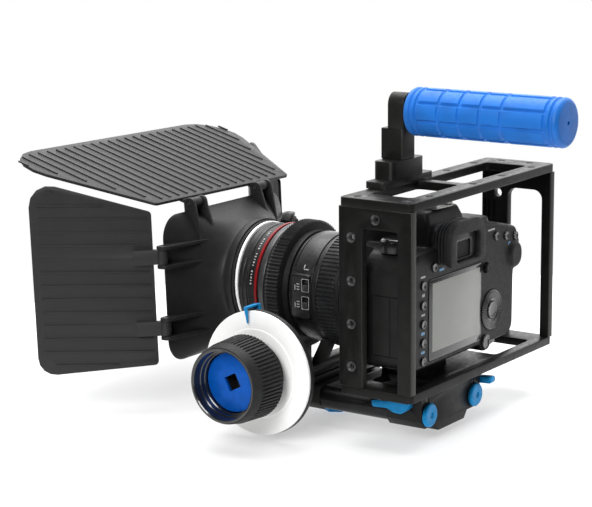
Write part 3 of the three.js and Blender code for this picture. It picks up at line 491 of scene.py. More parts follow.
# ------------------------------------------------------------------ pieces
def place(name, bm, material, body, nodes=(), smooth=32, second=None):
    """Puts a mesh into the row frame as a piece that rides a body. second is (material, test) for
    the faces whose middle, in the cage frame, passes the test."""
    for face in bm.faces:
        face.smooth = True
        if second and second[1](face.calc_center_median()):
            face.material_index = 1
    limit = math.radians(smooth)
    for edge in bm.edges:
        edge.smooth = len(edge.link_faces) == 2 and edge.calc_face_angle(4) < limit
    moved(bm, Matrix.Scale(0.001, 4) @ Matrix.Translation(CAGE))
    mesh = bpy.data.meshes.new(name)
    bm.to_mesh(mesh)
    bm.free()
    mesh.materials.append(material)
    if second:
        mesh.materials.append(second[0])
    obj = bpy.data.objects.new(name, mesh)
    bpy.context.scene.collection.objects.link(obj)
    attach(obj, body)
    if nodes:
        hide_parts(*nodes)
    return obj


def stand_in(node, bm, material, **options):
    """The finished mesh of one CAD node."""
    return place(f"{node}_finished", bm, material, BODY[node], [node], **options)


def refined(node, width=0.4, angle=38):
    """The CAD node's own shape as a mesh in mm, cleaned and with eased edges."""
    bm = bmesh.new()
    bm.from_mesh(NODES[node].data)
    moved(bm, Matrix.Translation(-CAGE) @ Matrix.Scale(1000, 4))
    bmesh.ops.remove_doubles(bm, verts=bm.verts, dist=2e-3)
    bmesh.ops.dissolve_limit(bm, angle_limit=0.01, verts=bm.verts, edges=bm.edges)
    return eased(oriented(bm), width, 2, angle)


# ------------------------------------------------------------------ cage and handle
TOP_SCREWS = [(58, -45), (58, -8), (35, -6), (-21, -6), (-60, -6), (-102, -6),
              (-118, -16), (-118, -38), (-98, -49), (-60, -49)]
LEFT_SCREWS = [(-45.2, 104), (-45.2, 75.6), (-45.2, 47.3), (-45.2, 19), (-27, 117)]
TOP_HOLE, LEFT_HOLE, COUNTERSINK = 1.9, 2.5, 1.35


def insert(axis, face, inward, u, v, radius):
    """A threaded bush sunk a little into a drilled hole; inward is +1 or -1 along the axis."""
    depths = [0.9 + 0.5 * i for i in range(7)]
    profile = [(radius * COUNTERSINK, face + inward * 0.12), (radius, face + inward * depths[0])]
    for i, depth in enumerate(depths):
        profile.append((radius * (0.62 if i % 2 else 0.74), face + inward * depth))
    profile += [(radius, face + inward * depths[-1]), (radius * COUNTERSINK, face + inward * depths[-1])]
    centre = (0, u, v) if axis == "x" else (u, v, 0)
    return turned(axis, profile, centre, 32)


def cage(paints):
    metal = paints["anodised_black"]
    outline = rectangle(CAGE_RIGHT, CAGE_LEFT, -CAGE_DEPTH, 0, 4)
    left_window = rectangle(-12.5, 46, RAIL_FRONT, RAIL_REAR, 3)
    right_window = rectangle(-106, -21, RAIL_FRONT, RAIL_REAR, 3)
    holes = [circle(TOP_HOLE * COUNTERSINK, 24, x, y) for x, y in TOP_SCREWS]
    underside = CAGE_HEIGHT - TOP_THICK
    top = slab("z", [outline, left_window, right_window, *holes], underside, CAGE_HEIGHT, 0.5, 3)
    stand_in("cage_top_plate", top, metal)
    bushes = [insert("z", CAGE_HEIGHT, -1, x, y, TOP_HOLE) for x, y in TOP_SCREWS]
    place("top_plate_threads", joined(*bushes), paints["lens_satin"], "rig_frame")

    windows = [rectangle(x0, x1, RAIL_FRONT, BOTTOM_RAIL_REAR, 3) for x0, x1 in ((-106, -58), (24, 46))]
    bottom = slab("z", [outline, *windows, circle(SCREW_HEAD, 40, 0, SCREW_Y)], 0, BOTTOM_THICK, 0.5, 3)
    pedestal = slab("z", [rectangle(-22, 22, -51, -25, 3), circle(SCREW_BORE, 32, 0, SCREW_Y)],
                    4.5, CAMERA_FLOOR, 0.4)
    stand_in("cage_bottom_plate", joined(bottom, pedestal), metal)

    def side(front, rear, radius):
        return rounded([(-CAGE_DEPTH, BOTTOM_THICK), (front, BOTTOM_THICK), (front, SIDE_WINDOW_TOP, radius),
                        (rear, SIDE_WINDOW_TOP, radius), (rear, BOTTOM_THICK), (0, BOTTOM_THICK),
                        (0, underside), (-CAGE_DEPTH, underside)])

    holes = [circle(LEFT_HOLE * COUNTERSINK, 32, y, z) for y, z in LEFT_SCREWS]
    left = slab("x", [side(-37, -10.5, 2), *holes], CAGE_LEFT - SIDE_THICK, CAGE_LEFT, 0.6, 3)
    stand_in("cage_left_plate", left, metal)
    bushes = [insert("x", CAGE_LEFT, -1, y, z, LEFT_HOLE) for y, z in LEFT_SCREWS]
    place("left_plate_threads", joined(*bushes), paints["lens_satin"], "rig_frame")

    inner = CAGE_RIGHT + SIDE_THICK
    right = slab("x", [side(-34, -7, 6.5), circle(3, 32, -42, 106)], CAGE_RIGHT, inner, 0.6, 3)
    grooves = [box(inner - 0.8, inner + 1, y0, y1, 0, 101, 0.1)
               for y0, y1 in ((-52.5, -51), (-49.5, -48), (-45.5, -37.5))]
    stand_in("cage_right_plate", boolean(right, "DIFFERENCE", joined(*grooves)), metal)


def handle(paints):
    metal = paints["anodised_black"]
    for node, width in (("handle_base", 0.6), ("handle_riser", 0.6), ("handle_core", 0.5)):
        stand_in(node, refined(node, width), metal)

    ring_grooves = [GRIP_FRONT + 26 + 15.2 * i for i in range(4)]
    collars = [GRIP_FRONT + 5.2, GRIP_FRONT + 9.4, GRIP_REAR - 5.2, GRIP_REAR - 9.4]
    start, end = collars[1], collars[3]
    flutes = 8

    def dip(distance, width):
        return max(0.0, 1 - (distance / width) ** 2)

    def swell(angle, radius, along):
        if radius < GRIP_RADIUS - 0.01:
            return radius
        depth = 1.5 * max(dip(along - groove, 1.5) for groove in collars)
        depth = max(depth, 1.4 * max(dip(along - groove, 1.4) for groove in ring_grooves))
        if start < along < end:
            turn = (angle * flutes / (2 * math.pi) + 0.35) % 1
            depth = max(depth, 1.4 * dip(min(turn, 1 - turn) * 2 * math.pi * GRIP_RADIUS / flutes, 1.4))
        return radius - depth

    steps = 224
    length = GRIP_REAR - GRIP_FRONT
    skin = [(GRIP_RADIUS, GRIP_FRONT + 2 + (length - 5) * i / steps) for i in range(steps + 1)]
    profile = [(7.8, GRIP_FRONT), (13.6, GRIP_FRONT), (15.2, GRIP_FRONT + 0.5), *skin,
               (15.7, GRIP_REAR - 2.0), (14.9, GRIP_REAR - 0.9), (13.6, GRIP_REAR - 0.2), (12.5, GRIP_REAR),
               (1.6, GRIP_REAR), (1.3, GRIP_REAR - 0.3), (1.3, GRIP_REAR - 3.5), (7.8, GRIP_REAR - 3.5)]
    grip = turned("y", profile, (0, 0, HANDLE_Z), 240, swell)
    stand_in("handle_grip", grip, paints["blue_rubber"], smooth=40)


# ------------------------------------------------------------------ rods
def rods(paints):
    metal = paints["anodised_black"]
    for node, width in (("rail_block", 0.5), ("ff_rod_clamp", 0.5), ("ff_arm", 0.5), ("lens_support", 0.4)):
        stand_in(node, refined(node, width), metal)
    tube = soften([(ROD_BORE, -ROD_LENGTH), (ROD_RADIUS, -ROD_LENGTH), (ROD_RADIUS, 0), (ROD_BORE, 0)], 0.5)
    cap = soften([(0, -9), (5.2, -9), (5.2, 0.3), (8, 0.3), (8, 2), (7, 2.9), (2, 3), (2, 2.2),
                  (0, 2.2)], 0.3)
    for side, x in (("left", ROD_X), ("right", -ROD_X)):
        rear = (x, BLOCK_REAR, ROD_Z)
        stand_in(f"rod_{side}", turned("y", tube, rear, 64), paints["anodised_rod"])
        stand_in(f"rod_cap_{side}", turned("y", cap, rear, 64), paints["anodised_blue"])
    for node in ("block_lever_left", "block_lever_right"):
        stand_in(node, refined(node, 0.9, 25), paints["anodised_blue"])
    stand_in("ff_clamp_knob", refined("ff_clamp_knob", 0.5, 50), paints["anodised_blue"])
    stand_in("camera_screw", refined("camera_screw", 0.3), paints["steel"])


# ------------------------------------------------------------------ camera
MENU_BUTTONS = {"menu_button": 71.6, "info_button": 58.6, "style_button": 46.1, "play_button": 33.7,
                "erase_button": 21.4}
THUMB_BUTTONS = {"af_start_button": (-57, 88.5), "lock_button": (-71, 86.5), "zoom_button": (-84, 84.5)}
LIVE_BUTTON = (25, 81.5)
JOYSTICK = (-43.5, 69)
SWITCH = (-43, 17.6)
DIAL = (-51.4, 38.4)
DIAL_RADIUS, SET_RADIUS = 14, 6
SCREEN_BOX = (-36.4, 31.6, 20, 74)
PICTURE_BOX = (-34.4, 27.6, 25.4, 71)
SHUTTER = (-84, -71, 88)
MODE_DIAL = (40, -28)


def rear_buttons():
    places = {name: (38.5, z) for name, z in MENU_BUTTONS.items()}
    return {**places, "live_button": LIVE_BUTTON, **THUMB_BUTTONS}


def fused(voxel, rounds, *parts):
    """The parts melted into one skin whose edges are rounded by smoothing."""
    bm = modified(joined(*parts), "REMESH", mode="VOXEL", voxel_size=voxel)
    return modified(bm, "SMOOTH", factor=0.5, iterations=rounds)


def prism():
    """The pentaprism housing: a side profile that narrows towards its top."""
    profile = rounded([(-64, 88), (-67, 104, 6), (-60, 115.5, 6), (-17, 115.8, 3), (-13.5, 108, 4),
                       (-12, 88)])
    hump = slab("x", [profile], -27, 27, 2.5, 3)
    for vert in hump.verts:
        rise = max(0, vert.co.z - SHOULDER) / (PRISM_TOP - SHOULDER)
        vert.co.x *= 1 - 0.24 * rise
    return hump


def camera_body():
    outline = rounded([
        (53, CAMERA_FLOOR, 7), (53, SHOULDER, 18), (24, SHOULDER + 1.5, 5), (-26, 101.5, 5), (-60, 97.5, 20),
        (-86, 91, 7), (-92.5, 79, 8), (-83, 61, 12), (-82.5, CAMERA_FLOOR, 9)])
    main = slab("y", [outline], CAMERA_FRONT, CAMERA_REAR, 2.2, 3)
    grip = slab("z", [rounded([(-80, -36, 5), (-91, -50, 9), (-95, -78, 12), (-86, -83, 9), (-68, -81, 8),
                               (-58, -50)])], CAMERA_FLOOR, 88, 3, 3)
    mount = turned("y", [(0, -50), (35, -50), (35, -64), (34, -65), (0, -65)], (0, 0, LENS_Z), 96)
    eyepiece = slab("y", [rectangle(-20, 20, 81, 107, 8)], -16, -1, 1)
    boss = cylinder("y", 6.4, -30, CAMERA_REAR + 0.1, (SWITCH[0], 0, SWITCH[1]))
    thumb = slab("y", [rounded([(-91, 63, 8), (-91.5, 81, 8), (-72, 80, 9), (-76, 62, 8)])],
                 -20, -5.4, 2.4, 3)
    shelf = slab("z", [rectangle(-57, -24, -36, -12, 6)], 92, 102.5, 2)
    skin = fused(0.9, 5, main, grip, mount, prism(), eyepiece, boss, thumb, shelf)

    flank = slab("z", [rounded([(56, -43), (38, -43, 7), (36, -62), (56, -62)])], 0, 100, 0.5)
    x0, x1, z0, z1 = SCREEN_BOX
    wells = [
        slab("y", [rectangle(x0 - 0.3, x1 + 0.3, z0 - 0.3, z1 + 0.3, 2)], CAMERA_REAR - 1.6, 2, 0.1),
        cylinder("y", DIAL_RADIUS + 0.4, CAMERA_REAR - 1.6, 2, (DIAL[0], 0, DIAL[1]), 0.1),
        slab("y", [rectangle(-8.6, 8.6, 84.5, 96, 1.5)], -6, 2, 0.1),
        cylinder("y", 3.9, CAMERA_REAR - 2, 2, (JOYSTICK[0], 0, JOYSTICK[1]), 0.1),
        cylinder("z", 6, SHUTTER[2] - 3, SHUTTER[2] + 3, (SHUTTER[0], SHUTTER[1], 0), 0.1),
        cylinder("z", SCREW_BORE, 0, 22, (0, SCREW_Y, 0), 0.1),
        cylinder("z", 10.3, SHOULDER, 112, (*MODE_DIAL, 0), 0.1, 64),
    ]
    wells += [cylinder("y", 3.35, CAMERA_REAR - 2.6, 2, (x, 0, z), 0.1, 24)
              for x, z in rear_buttons().values()]
    # Seams of the port doors on the left side.
    seams = [(-38, -12, 64.5, 65.1), (-38, -12, 25, 25.6), (-38, -37.4, 25, 65), (-24.3, -23.7, 25, 65),
             (-12.6, -12, 25, 65), (-38, -12, 82, 82.6)]
    for y0, y1, low, high in seams:
        wells.append(box(52.2, 54, y0, y1, low, high, 0.05))
    return boolean(skin, "DIFFERENCE", flank, boolean(wells[0], "UNION", *wells[1:]))


def leather(face):
    """The textured covering: the front and grip below the shoulder."""
    on_front = face.y < -46 and 20 < face.z < 82
    return on_front or (face.x < -84.5 and 22 < face.z < 60)


def screen():
    x0, x1, z0, z1 = SCREEN_BOX
    bezel = slab("y", [rectangle(x0, x1, z0, z1, 2)], CAMERA_REAR - 1.3, CAMERA_REAR + 0.5, 0.35)
    u0, u1, v0, v1 = PICTURE_BOX
    picture = slab("y", [rectangle(u0, u1, v0, v1, 0.6)], CAMERA_REAR, CAMERA_REAR + 0.6, 0.05)
    return joined(bezel, picture)


def picture_face(face):
    return face.y > CAMERA_REAR + 0.545


def rear_dial():
    def knurl(angle, radius, along):
        coarse = radius > SET_RADIUS + 2 and along > -1
        return radius - (0.28 if coarse and (angle * 60 / (2 * math.pi)) % 1 > 0.5 else 0)

    ring = [(SET_RADIUS + 0.3, -1.3), (DIAL_RADIUS, -1.3), (DIAL_RADIUS, 0.6), (13.5, 1.1), (12.6, 1.35)]
    ring += [(12.2 - 0.75 * i, 1.3 if i % 2 else 1.0) for i in range(6)]
    ring += [(SET_RADIUS + 1.2, 0.7), (SET_RADIUS + 0.3, 0.5)]
    return turned("y", ring, (DIAL[0], CAMERA_REAR, DIAL[1]), 240, knurl)


def dished(x, z, radius, back, proud):
    """A round button with a raised rim and a shallow dish."""
    profile = [(0, back), (radius, back), (radius, proud - 0.45), (radius - 0.15, proud - 0.12),
               (radius - 0.5, proud), (radius - 0.85, proud - 0.08), (radius * 0.5, proud - 0.3),
               (0, proud - 0.38)]
    return turned("y", profile, (x, CAMERA_REAR, z), 48)


def label(x0, x1, z0, z1):
    return slab("y", [rectangle(x0, x1, z0, z1, 0.2)], CAMERA_REAR - 0.1, CAMERA_REAR + 0.06, 0.03)


def labels(paints):
    """Plain strokes beside the buttons, where the real camera has words and icons."""
    white = [label(35.6, 41.4, 76.6, 77.9), label(36.4, 39.6, 64.2, 66.2), label(36.2, 40.6, 51.6, 53),
             label(-55, -46, 93.2, 94.4)]
    blue = [label(36.4, 40.8, 39, 41), label(36.4, 40.8, 26.6, 28.4), label(12, 18, 77.4, 79),
            label(-78.5, -74.5, 79.4, 81.4), label(-86, -81, 79, 81)]
    place("camera_white_labels", joined(*white), paints["white_marks"], "rig_frame")
    place("camera_blue_labels", joined(*blue), paints["blue_marks"], "rig_frame")


def eyecup():
    outline = rounded([(-23, 80.5, 5), (23, 80.5, 5), (23, 110, 13), (-23, 110, 13)])
    rim = slab("y", [outline, rectangle(-15, 15, 82.9, 101, 3)], -0.8, 3.4, 0.9, 4)
    parts = [rim]
    for i in range(4):
        fold = rounded([(-21.6, 81.2, 5), (21.6, 81.2, 5), (21.6, 108.6, 11), (-21.6, 108.6, 11)])
        parts.append(slab("y", [fold], -9.8 + 2.3 * i, -8.4 + 2.3 * i, 0.5, 3))
    return joined(*parts)


def camera(paints):
    shell, gloss = paints["camera_shell"], paints["black_gloss"]
    stand_in("camera_body", camera_body(), shell, second=(paints["camera_leatherette"], leather), smooth=40)
    stand_in("camera_screen", screen(), gloss, second=(paints["screen_face"], picture_face))
    stand_in("camera_eyecup", eyecup(), paints["black_rubber"])
    pane = slab("y", [rectangle(-8.2, 8.2, 84.9, 95.6, 1.4)], -5.6, -4.6, 0.2)
    place("eyepiece_glass", pane, paints["black_plastic"], "rig_frame")
    surround = slab("y", [rectangle(-14.6, 14.6, 83.2, 100.6, 2.6), rectangle(-8.6, 8.6, 84.5, 96, 1.4)],
                    -1.2, -0.3, 0.25)
    place("eyepiece_frame", surround, paints["lens_satin"], "rig_frame")
    stand_in("hot_shoe", refined("hot_shoe", 0.2), paints["steel"])
    labels(paints)

    x, y = MODE_DIAL
    knurled = turned("z", soften([(0, 0.3), (9.8, 0.3), (9.8, 7.6), (9, 8.6), (8.2, 9.2), (0, 9.5)], 0.3),
                     (x, y, SHOULDER), 288, ribbed(72, 0.35, 9.3))
    stand_in("mode_dial", knurled, gloss)
    stand_in("rear_dial", rear_dial(), gloss)
    stand_in("set_button", dished(*DIAL, SET_RADIUS, -0.6, 1.3), gloss)
    for node, (x, z) in rear_buttons().items():
        stand_in(node, dished(x, z, 3, -1.7, 1.1), gloss)
    x, z = SWITCH
    hub = turned("y", soften([(0, 0.3), (5.2, 0.3), (5.2, 1.3), (4.4, 1.7), (3.2, 1.4), (0, 1.4)], 0.2),
                 (x, CAMERA_REAR, z), 64)
    tip = slab("y", [rounded([(x - 10, z - 1.6, 1), (x - 2, z - 2.6), (x - 2, z + 1.4),
                              (x - 10, z + 0.6, 1)])],
               CAMERA_REAR + 0.3, CAMERA_REAR + 2, 0.4, 3)
    stand_in("power_switch", joined(hub, tip), gloss)
    cap = soften([(0, -1.8), (5.6, -1.8), (5.6, 1.2), (4.8, 2), (3, 2.15), (0, 1.7)], 0.3)
    stand_in("shutter_button", turned("z", cap, SHUTTER, 64), gloss)
    stick = soften([(0, -1.2), (2.2, -1.2), (2.2, 0.8), (3.4, 1), (3.4, 2.2), (2.6, 2.6), (0, 2.2)], 0.25)
    stand_in("joystick", turned("y", stick, (JOYSTICK[0], CAMERA_REAR, JOYSTICK[1]), 48, ribbed(12, 0.3, 3)),
             paints["black_rubber"])


# ------------------------------------------------------------------ lens
def lens_ring(profile, segments=128, edge=0.35, swell=None):
    return turned("y", soften(profile, edge), (0, 0, LENS_Z), segments, swell)


def ribbed(count, depth, floor, duty=0.5):
    """A swell that cuts count grooves of that depth into radii above floor."""
    def swell(angle, radius, along):
        turn = (angle * count / (2 * math.pi)) % 1
        return radius - (depth if radius > floor and turn > duty else 0)
    return swell


def barrel_mark(radius, y, angle, width, height):
    """A small plate on a barrel, at an angle above the operator's left."""
    turn = Matrix.Rotation(math.radians(-angle), 4, "Y")
    plate = slab("x", [rectangle(y - width / 2, y + width / 2, -height / 2, height / 2, 0.15)],
                 radius - 0.3, radius + 0.08, 0.03)
    return moved(plate, Matrix.Translation((0, 0, LENS_Z)) @ turn)


def lens(paints):
    barrel, satin = paints["lens_barrel"], paints["lens_satin"]
    rear = lens_ring([(24, -92), (31.7, -92), (31.7, -72.7), (34, -72.7), (34, -65.3), (24, -65.3)])
    stand_in("lens_mount_barrel", rear, barrel)

    zoom = lens_ring([(32, -91.4), (38.6, -91.4), (38.9, -90.6), (39.5, -90.3), (39.5, -77), (38.7, -76.6),
                      (38.7, -76), (39.3, -75.6), (39.3, -73.4), (38.6, -73), (32, -73)],
                     504, 0.2, ribbed(84, 0.75, 39.4, 0.66))
    stand_in("zoom_ring", zoom, barrel)

    mid = lens_ring([(24, -133), (31.7, -133), (31.7, -115), (35.8, -115), (36.2, -114.4), (36.2, -113.2),
                     (35.5, -112.9), (35.5, -112.2), (37.1, -111.6), (37.5, -111), (37.5, -96.4), (36.4, -96),
                     (36.4, -94.6), (37.5, -94.2), (37.5, -92.3), (24, -92.3)], 160, 0.25)
    panel = slab("x", [rectangle(-111.5, -96.8, 38, 68, 2.5)], 33, 38.1, 0.5, 3)
    slots = [box(36.4, 40, -102.4, -97.6, z, z + 7.6, 0.1) for z in SWITCH_SLOTS]
    stand_in("lens_mid_barrel", boolean(boolean(mid, "UNION", panel), "DIFFERENCE", *slots), barrel)
    for node, z in zip(("lens_switch_lower", "lens_switch_upper"), SWITCH_SLOTS):
        knob = slab("x", [rectangle(-102.1, -97.9, z + 0.3, z + 4.3, 0.6)], 36.7, 39.4, 0.4, 3)
        stand_in(node, knob, satin)
    frames = [slab("x", [rectangle(-103.1, -97.1, z - 0.7, z + 8.3, 1),
                         rectangle(-102.75, -97.45, z - 0.35, z + 7.95, 0.8)],
                   37.9, 38.25, 0.08) for z in SWITCH_SLOTS]
    strokes = [slab("x", [rectangle(-108.6, -108, z, z + 3.6, 0.15)], 37.9, 38.2, 0.03) for z in SWITCH_SLOTS]
    strokes += [slab("x", [rectangle(-107, -104.6, z + rise, z + rise + 0.6, 0.15)], 37.9, 38.2, 0.03)
                for z in SWITCH_SLOTS for rise in (0.4, 2.2, 4)]
    strokes += [barrel_mark(37.5, -102.5, 28, 4, 0.6), barrel_mark(37.5, -104.3, 31, 0.7, 2.6)]
    place("lens_labels", joined(*frames, *strokes), paints["white_marks"], "rig_frame")

    trims = [turned("y", [(40.2, -134), (46, -134), (46, -129.2), (40.2, -129.2)], (0, 0, LENS_Z), 160),
             turned("y", [(37.4, -119.4), (46, -119.9), (46, -115), (37, -115)], (0, 0, LENS_Z), 160)]
    toothed = boolean(refined("focus_gear_ring", 0.15, 50), "DIFFERENCE", *trims)
    stand_in("focus_gear_ring", toothed, paints["black_plastic"])

    front = lens_ring([
        (32.6, -166), (36.8, -166), (36.8, -156.2), (38, -155.6), (39, -154.6), (39, -152), (38.6, -151.6),
        (39, -151.2), (39, -148.4), (38.2, -148), (38.2, -147), (39, -146.6), (39, -137.2), (40, -137),
        (40, -133.3), (24, -133.3), (24, -155), (32.6, -155)], 160, 0.25)
    stand_in("lens_front_barrel", front, barrel)
    red = lens_ring([(38.9, -141), (40.2, -141), (40.4, -140.7), (40.4, -139.3), (40.2, -139),
                     (38.9, -139)], 160, 0.2)
    stand_in("lens_red_ring", red, paints["red_ring"])
    band = lens_ring([(38.9, -137.6), (40.2, -137.6), (40.2, -133.6), (38.9, -133.6)], 160, 0.25)
    place("lens_front_band", band, satin, "rig_frame")
    tick_angles = [6 + 3.1 * i for i in range(21) if i % 6 != 5]
    ticks = [barrel_mark(39, -144.6, angle, 1.3, 0.7 if i % 2 else 1.1)
             for i, angle in enumerate(tick_angles)]
    place("lens_front_labels", joined(*ticks), paints["white_marks"], "rig_frame")

    # The adapter ring that the matte box clamps on sits square to the matte box, not to the lens.
    adapter = soften([(37, 5.4), (38.9, 5.4), (39.3, 5.8), (39.3, 7.2), (38.9, 7.5), (37, 7.5)], 0.2)
    ring = in_hood(turned("y", adapter, (0, 0, 0), 160))
    place("lens_adapter_ring", ring, paints["white_plastic"], "rig_frame")
    glass = turned("y", [(0, -159.5), (8, -159.35), (16, -158.9), (24, -158.1), (32.3, -157), (32.3, -155.3),
                         (0, -155.3)], (0, 0, LENS_Z), 96)
    stand_in("lens_front_glass", glass, paints["lens_glass"])


# ------------------------------------------------------------------ follow focus
def hand_knob(centre):
    """The rubber knob: axial ribs behind a smooth rim, and a stepped cup in front."""
    ribs = 66

    def swell(angle, radius, along):
        turn = (angle * ribs / (2 * math.pi)) % 1
        return radius - (0.9 if radius > 25.9 and 97.5 < along < 118 and turn > 0.62 else 0)

    profile = [(0, DISC_X + 0.6), (22, DISC_X + 0.6), (22, 96), (26.6, 96), (27.3, 96.6), (28.1, 97.6),
               (27.9, 99)]
    profile += [(27.9 - 0.095 * i, 99 + 2 * i) for i in range(1, 10)]
    profile += [(26.6, 118.4), (25.5, 124.6), (25.1, 125.5), (24.4, 126), (23.4, 126), (22.7, 125.5),
                (22.3, 124), (21.8, 120.6), (21.1, 120.2), (20.9, 117), (20.3, 116.6), (20.1, CUP_FLOOR),
                (0, CUP_FLOOR - 0.3)]
    knob = turned("x", profile, centre, ribs * 8, swell)
    return boolean(knob, "DIFFERENCE", slab("x", [square_socket()], 104, 130, 0.05))


def cup_face(face):
    """The inside of the knob's cup."""
    return face.x > CUP_FLOOR - 1 and math.hypot(face.y - WHEEL_Y, face.z - WHEEL_Z) < CUP_RADIUS


def square_socket():
    half, turn = 4.7, math.radians(27)
    corners = [(-half, -half), (half, -half), (half, half), (-half, half)]
    cosine, sine = math.cos(turn), math.sin(turn)
    return [(WHEEL_Y + u * cosine - v * sine, WHEEL_Z + u * sine + v * cosine) for u, v in corners]


def pointer():
    """The collar behind the disc, its arm, and the bent strip that points at the disc's face."""
    rim = DISC_RADIUS + 1.6
    collar = turned("x", soften([(10.3, 76.4), (14, 76.4), (14, 80.2), (10.3, 80.2)]), (0, 0, 0), 64)
    arm = slab("x", [rounded([(-3, 12), (3, 12), (2.6, rim + 1.6, 1), (-2.6, rim + 1.6, 1)])], 77, 79.4, 0.4)
    bridge = slab("z", [rounded([(77.4, -2.6, 0.8), (91.2, -1.5, 0.8), (91.2, 1.5, 0.8), (77.4, 2.6, 0.8)])],
                  rim + 0.3, rim + 1.6, 0.3)
    tip = slab("x", [rounded([(-1.5, rim + 1.4, 0.4), (-0.35, 33.6, 0.2), (0.35, 33.6, 0.2),
                              (1.5, rim + 1.4, 0.4)])],
               90, 91.1, 0.25)
    turn = Matrix.Translation((0, WHEEL_Y, WHEEL_Z)) @ Matrix.Rotation(math.radians(8), 4, "X")
    return moved(joined(collar, arm, bridge, tip), turn)


def follow_focus(paints):
    plastic = paints["black_plastic"]
    centre = (0, WHEEL_Y, WHEEL_Z)
    stand_in("ff_gearbox", refined("ff_gearbox", 0.8, 40), plastic)
    stand_in("ff_drive_gear", refined("ff_drive_gear", 0.15, 50), plastic)
    flange = soften([(0, 49.4), (2.1, 49.4), (4.5, 51.8), (4.5, 82.2), (DISC_RADIUS + 0.4, 82.2),
                     (DISC_RADIUS + 0.4, DISC_X - 2.5), (0, DISC_X - 2.5)])
    stand_in("ff_wheel_flange", turned("x", flange, centre, 128), plastic)
    disc = soften([(8, DISC_X - 2.4), (DISC_RADIUS, DISC_X - 2.4), (DISC_RADIUS, DISC_X), (30, DISC_X),
                   (29.4, DISC_X + 0.5), (8, DISC_X + 0.5)], 0.5)
    stand_in("ff_marking_disc", turned("x", disc, centre, 160), paints["white_plastic"])
    stand_in("ff_hand_knob", hand_knob(centre), paints["black_rubber"], smooth=30,
             second=(paints["black_gloss"], cup_face))
    plate = slab("x", [circle(19.7, 96, WHEEL_Y, WHEEL_Z), square_socket()],
                 CUP_FLOOR, CUP_FLOOR + 2.6, 0.35, 3)
    stand_in("ff_socket_plate", plate, paints["socket_blue"])
    stand_in("ff_marker", pointer(), paints["anodised_blue"])


# ------------------------------------------------------------------ matte box
# Its shapes are in the clamp ring's own frame; in_hood() tilts them into the cage's.
EAR_SPREAD, EAR_THICK, TOP_EARS, SIDE_EARS = 6.5, 2.5, 38.5, 24.7
TOP_HINGE, SIDE_HINGE, PIN_HOLE, SCREW_HOLE = (-25.8, 57), (74.5, -28), 1.9, 2.3
SCREW_ANGLE = math.radians(-47)


def hood_size(y, inset=0.0):
    """Half width, half height and corner radius of the hood's section at y."""
    growth = max(0.0, (NECK_FRONT - y) / (NECK_FRONT - HOOD_FRONT))
    flare = growth ** 1.5
    half_width = NECK_RADIUS + (HOOD_WIDTH / 2 - NECK_RADIUS) * flare
    half_height = NECK_RADIUS + (HOOD_HEIGHT / 2 - NECK_RADIUS) * flare
    return half_width - inset, half_height - inset, NECK_RADIUS - 24 * growth - inset


def hood_section(y, inset, steps=40):
    half_width, half_height, radius = hood_size(y, inset)
    points = []
    for quarter, sx, sz in ((0, 1, 1), (1, -1, 1), (2, -1, -1), (3, 1, -1)):
        for k in range(steps):
            angle = (quarter + (k + 0.5) / steps) * math.pi / 2
            points.append((sx * (half_width - radius) + radius * math.cos(angle), y,
                           sz * (half_height - radius) + radius * math.sin(angle)))
    return points


def skin_at(across, y, wide):
    """How far out the hood's skin is at a place across it: upwards, or sideways when wide is true."""
    half_width, half_height, radius = hood_size(y)
    if wide:
        half_width, half_height = half_height, half_width
    beyond = abs(across) - (half_width - radius)
    if beyond <= 0:
        return half_height
    return half_height - radius + math.sqrt(max(0.0, radius ** 2 - beyond ** 2))


def hood_shell():
    """One closed skin: the outside, the front lip, and the inside back to the clamp ring."""
    outer = [5, 2, -1, NECK_FRONT, *(NECK_FRONT + (HOOD_FRONT - NECK_FRONT) * i / 26 for i in range(1, 27))]
    rings = [(y, 0.0) for y in outer[:-1]]
    rings += [(HOOD_FRONT + 0.5, 0), (HOOD_FRONT + 0.1, 0.25), (HOOD_FRONT, 0.7),
              (HOOD_FRONT, HOOD_WALL - 0.5), (HOOD_FRONT + 0.3, HOOD_WALL)]
    rings += [(y, HOOD_WALL) for y in reversed(outer[:-1])]
    bm = bmesh.new()
    loops = [[bm.verts.new(point) for point in hood_section(y, inset)] for y, inset in rings]
    for k, loop in enumerate(loops):
        after = loops[(k + 1) % len(loops)]
        for i in range(len(loop)):
            j = (i + 1) % len(loop)
            bm.faces.new((loop[i], loop[j], after[j], after[i]))
    return oriented(bm)


def top_ear(x):
    """A fin from the hinge down to the hood's skin."""
    foot = [(y, skin_at(x, y, False) - 1.4) for y in (-15, -17, -20, -23, -26, -29.5)]
    crown = [(-30, 61, 4), (-21.6, 61, 4), (-20.4, 55, 4), (-17.5, skin_at(x, -17.5, False) + 3.5, 5)]
    outline = [rounded([*foot, *crown]), circle(PIN_HOLE, 24, *TOP_HINGE)]
    return slab("x", outline, x - EAR_THICK / 2, x + EAR_THICK / 2, 0.4, 2)


def side_ear(z):
    foot = [(skin_at(z, y, True) - 1.4, y) for y in (-29.5, -26, -23, -20, -17, -14)]
    crown = [(skin_at(z, -16, True) + 2.5, -16, 5), (73, -21.5, 5), (78.5, -24, 3.6), (78.5, -32, 3.6)]
    outline = [rounded([*foot, *crown]), circle(PIN_HOLE, 24, *SIDE_HINGE)]
    return slab("z", outline, z - EAR_THICK / 2, z + EAR_THICK / 2, 0.4, 2)


def screw_bore(bm):
    """bm with the clamp screw's hole through it."""
    bore = cylinder("z", SCREW_HOLE, 30, 46, edge=0.1)
    return boolean(bm, "DIFFERENCE", moved(bore, Matrix.Rotation(SCREW_ANGLE, 4, "Y")))


